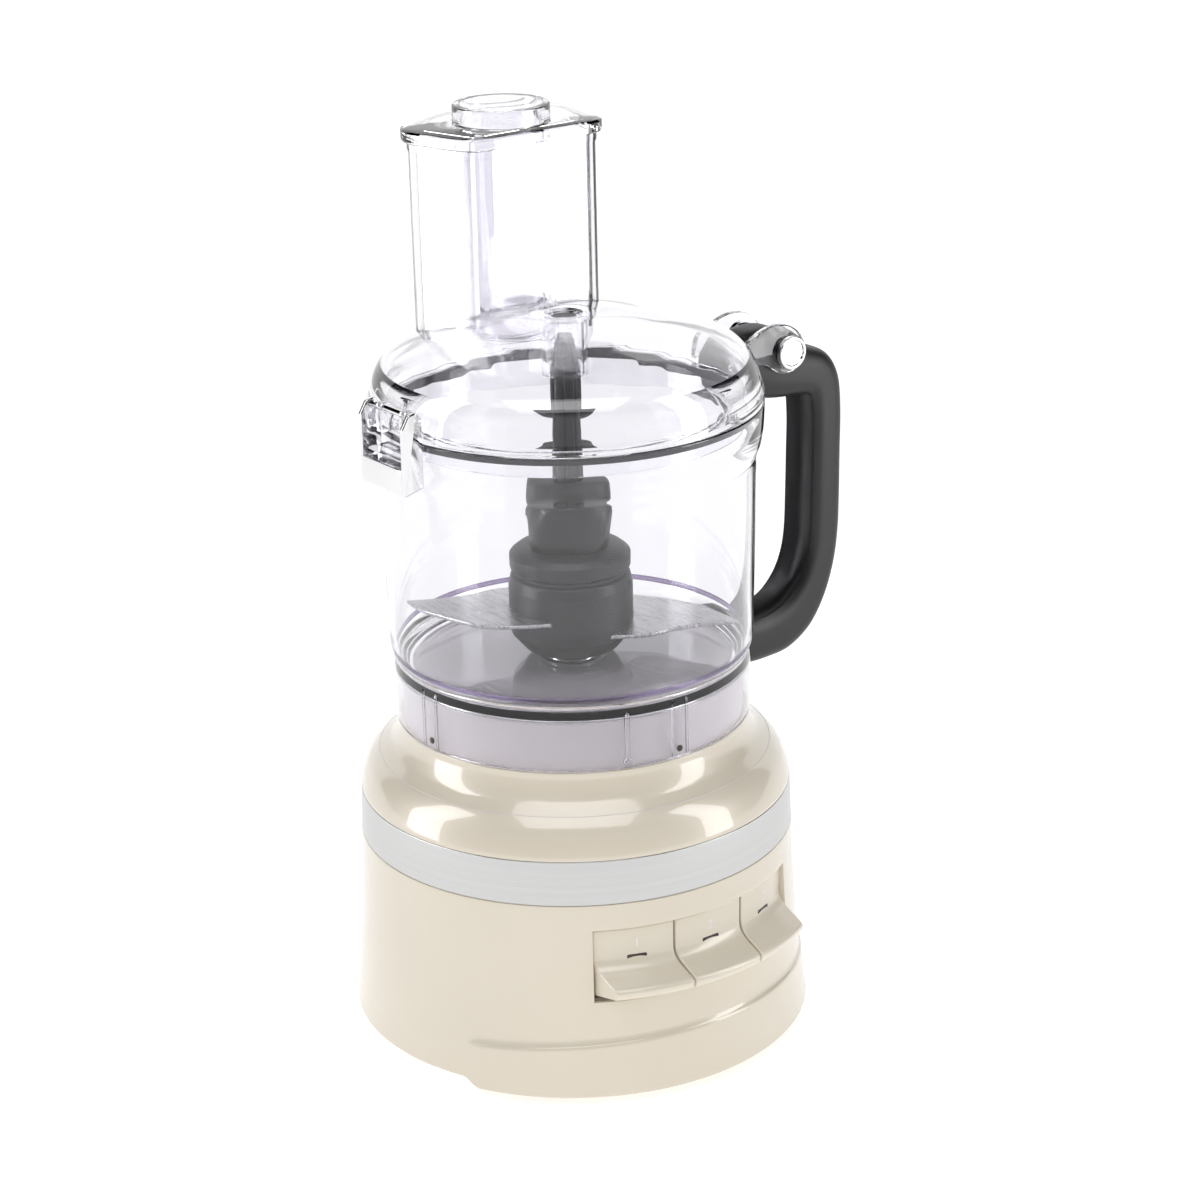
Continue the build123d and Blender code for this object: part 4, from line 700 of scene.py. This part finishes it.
ear_outline = smooth([(88.2, 293.2), (87.9, 297.0), (90.0, 302.4), (96.0, 306.8), (103.0, 309.4),
                      (110.0, 309.8),
                      (116.0, 308.4), (121.3, 304.8), (124.8, 299.6), (125.3, 293.8), (122.2, 288.4),
                      (116.0, 285.9),
                      (110.0, 286.8), (103.0, 291.6), (95.0, 292.9), (88.2, 293.2)], 4)[:-1]
for side, word in SIDES:
    ear = slab(f"lid_ear_{word}", ear_outline, 0, 3.4, clear_plastic, side_plate(13.6 if side > 0 else -17.0),
               edge=0.7)
    place(ear, "lid_unit", "clear_plastic")
lug_outline = rounded([(-85.2, 293.4, 0.6), (-85.2, 302.0, 0.6), (-88.4, 306.6, 1.6), (-92.6, 306.6, 1.8),
                       (-93.2, 301.0, 2.0), (-92.6, 293.4, 0.8)])
for side, word in SIDES:
    lug = slab(f"latch_lug_{word}", lug_outline, 0, 4.0, clear_plastic, side_plate(7.0 if side > 0 else -11.0),
               edge=0.5)
    place(lug, "lid_unit", "clear_plastic")

# ---------------------------------------------------------------- latch: side bars, lower plate and hook
LATCH_WIDTH, LATCH_START = 29.8, -14.9
for side, word in SIDES:
    bar = slab(f"latch_side_{word}", rounded([(-98.0, 271.2, 0.8), (-88.0, 273.6, 0.8), (-87.6, 304.0, 1.5),
               (-90.4, 307.4, 1.6), (-94.6, 306.6, 1.6), (-98.0, 301.0, 1.2)]), 0, 2.2, chrome,
               side_plate(14.8 if side > 0 else -17.0), edge=0.6)
    place(bar, "latch_clip", "bright_chrome", *(["latch"] if side < 0 else []))
plate = slab("latch_plate", rounded([(-98.0, 271.2, 0.6), (-96.2, 271.2, 0.3), (-96.2, 283.0, 0.3),
                                     (-98.0, 283.0, 0.6)]), 0, LATCH_WIDTH, chrome,
             side_plate(LATCH_START), edge=0.2)
place(plate, "latch_clip", "bright_chrome")
hook = slab("latch_hook", rounded([(-97.4, 280.2, 0.4), (-90.9, 280.2, 0.6), (-90.9, 282.9, 0.8),
                                   (-97.4, 282.9, 0.3)]), 0, LATCH_WIDTH, chrome,
            side_plate(LATCH_START), edge=0.3)
place(hook, "latch_clip", "bright_chrome")

# ---------------------------------------------------------------- pushers
PLATE_LOW, PLATE_TOP = 405.35, 410.9
GAP = LID_WALL + 0.8
pusher = prism("pusher_body", chute(GAP), 316.1, PLATE_LOW + 0.5, pusher_plastic)
flange_levels = [(PLATE_LOW, -2.4), (PLATE_LOW + 0.6, -3.1), (PLATE_LOW + 4.6, -3.15), (PLATE_TOP - 0.4, -2.7),
                 (PLATE_TOP, -2.0)]
flange = loft("pusher_flange", [[(x, y, z) for x, y in chute(amount)] for z, amount in flange_levels],
              pusher_plastic)
combine(pusher, flange)
CUP = (CHUTE_X, 40.0)
CUP_RADIUS = 19.4


def column(name, radius, low, high):
    """A round column about the small pusher's axis."""
    return lathe(name, [(0, low), (radius, low), (radius, high), (0, high)], pusher_plastic, 128, centre=CUP)


inner_void = prism("void", chute(GAP + 2.2), 314.0, PLATE_TOP - 2.2, pusher_plastic)
combine(inner_void, column("core", CUP_RADIUS + 2.4, 310.0, 415.0), operation="DIFFERENCE")
combine(pusher, inner_void, column("well", CUP_RADIUS + 0.8, 310.0, 415.0), operation="DIFFERENCE")
place(pusher, "food_pusher", "clear_plastic", "feed_pusher")
small = lathe("inner_pusher_cup", rounded([(0, 316.2), (CUP_RADIUS, 316.2, 1.0), (CUP_RADIUS, 411.4),
                                           (21.7, 411.4, 0.4),
                                           (21.7, 418.95, 1.2), (18.4, 418.95, 0.6), (17.8, 414.0),
                                           (17.8, 318.0, 1.0), (0, 318.0)]), pusher_plastic, 160, centre=CUP)
place(small, "inner_pusher", "clear_plastic", "small_pusher")

# ---------------------------------------------------------------- floor, light, camera
backdrop_look = shader("backdrop", Base_Color=(0.88, 0.88, 0.88, 1), Roughness=0.9,
                       Emission_Color=(1, 1, 1, 1), Emission_Strength=0.55)
sweep = smooth([(-4.0, 0.0), (1.2, 0.0), (2.2, 0.04), (2.9, 0.35), (3.25, 1.1), (3.3, 3.0)], 10)
floor_vertices = [(side * 4000.0, along * 1000, up * 1000 - 0.05) for along, up in sweep for side in (-1, 1)]
floor_faces = [(2 * i, 2 * i + 1, 2 * i + 3, 2 * i + 2) for i in range(len(sweep) - 1)]
floor = mesh_piece("floor", floor_vertices, floor_faces, backdrop_look)

HEADING, PITCH, ROLL, TURN = radians(0.60035), radians(20.2855), radians(-1.26673), radians(36.2)
forward = Vector((sin(HEADING) * cos(PITCH), cos(HEADING) * cos(PITCH), -sin(PITCH)))
right = Vector((cos(HEADING), -sin(HEADING), 0))
up = right.cross(forward)
right, up = right * cos(ROLL) + up * sin(ROLL), up * cos(ROLL) - right * sin(ROLL)
to_machine = Matrix.Rotation(-TURN, 3, "Z")
position = to_machine @ Vector((0, -1.2539, 0.6603))
axes = Matrix((to_machine @ right, to_machine @ up, to_machine @ -forward)).transposed()
floor.matrix_world = to_machine.to_4x4()

camera_data = bpy.data.cameras.new("camera")
camera_data.lens, camera_data.sensor_width = 88.29, 36.0
camera = bpy.data.objects.new("camera", camera_data)
camera.matrix_world = Matrix.Translation(position) @ axes.to_4x4()
bpy.context.scene.collection.objects.link(camera)
bpy.context.scene.camera = camera


def soft_light(name, place_at, aim, width, height, power):
    """A rectangular soft light at a place in the viewer's frame (x right, y away, z up), aimed at a point."""
    data = bpy.data.lights.new(name, "AREA")
    data.shape, data.size, data.size_y, data.energy = "RECTANGLE", width, height, power
    made = bpy.data.objects.new(name, data)
    at, target = to_machine @ Vector(place_at), to_machine @ Vector(aim)
    made.matrix_world = Matrix.Translation(at) @ (target - at).to_track_quat("-Z", "Y").to_matrix().to_4x4()
    bpy.context.scene.collection.objects.link(made)
    return made


# the strips and the box overhead give the highlights and light no matt surface; the fills do the opposite
for card in (soft_light("left_strip", (-1.24, -0.15, 0.3), (0, 0, 0.3), 0.48, 2.6, 26.0),
             soft_light("right_strip", (1.155, -0.31, 0.3), (0, 0, 0.3), 0.37, 2.6, 18.0),
             soft_light("top_box", (0.0, -0.55, 1.5), (0, 0, 0.33), 1.2, 0.9, 12.0)):
    card.visible_diffuse = False
for fill in (soft_light("key", (-0.5, -0.9, 1.5), (0, 0, 0.2), 1.2, 1.2, 6.0),
             soft_light("side_fill", (1.3, -0.7, 0.7), (0, 0, 0.2), 0.9, 1.2, 1.5)):
    fill.visible_glossy = False

world = bpy.data.worlds.new("studio")
world.use_nodes = True
world.node_tree.nodes["Background"].inputs["Color"].default_value = (1.0, 1.0, 1.0, 1)
world.node_tree.nodes["Background"].inputs["Strength"].default_value = 0.5
world.cycles_visibility.glossy = False
scene = bpy.context.scene
scene.world = world
scene.view_settings.view_transform = "Standard"
# clear parts stand inside clear parts, so light has many walls to go through
scene.cycles.max_bounces = 32
scene.cycles.transmission_bounces = 32
scene.cycles.glossy_bounces = 8
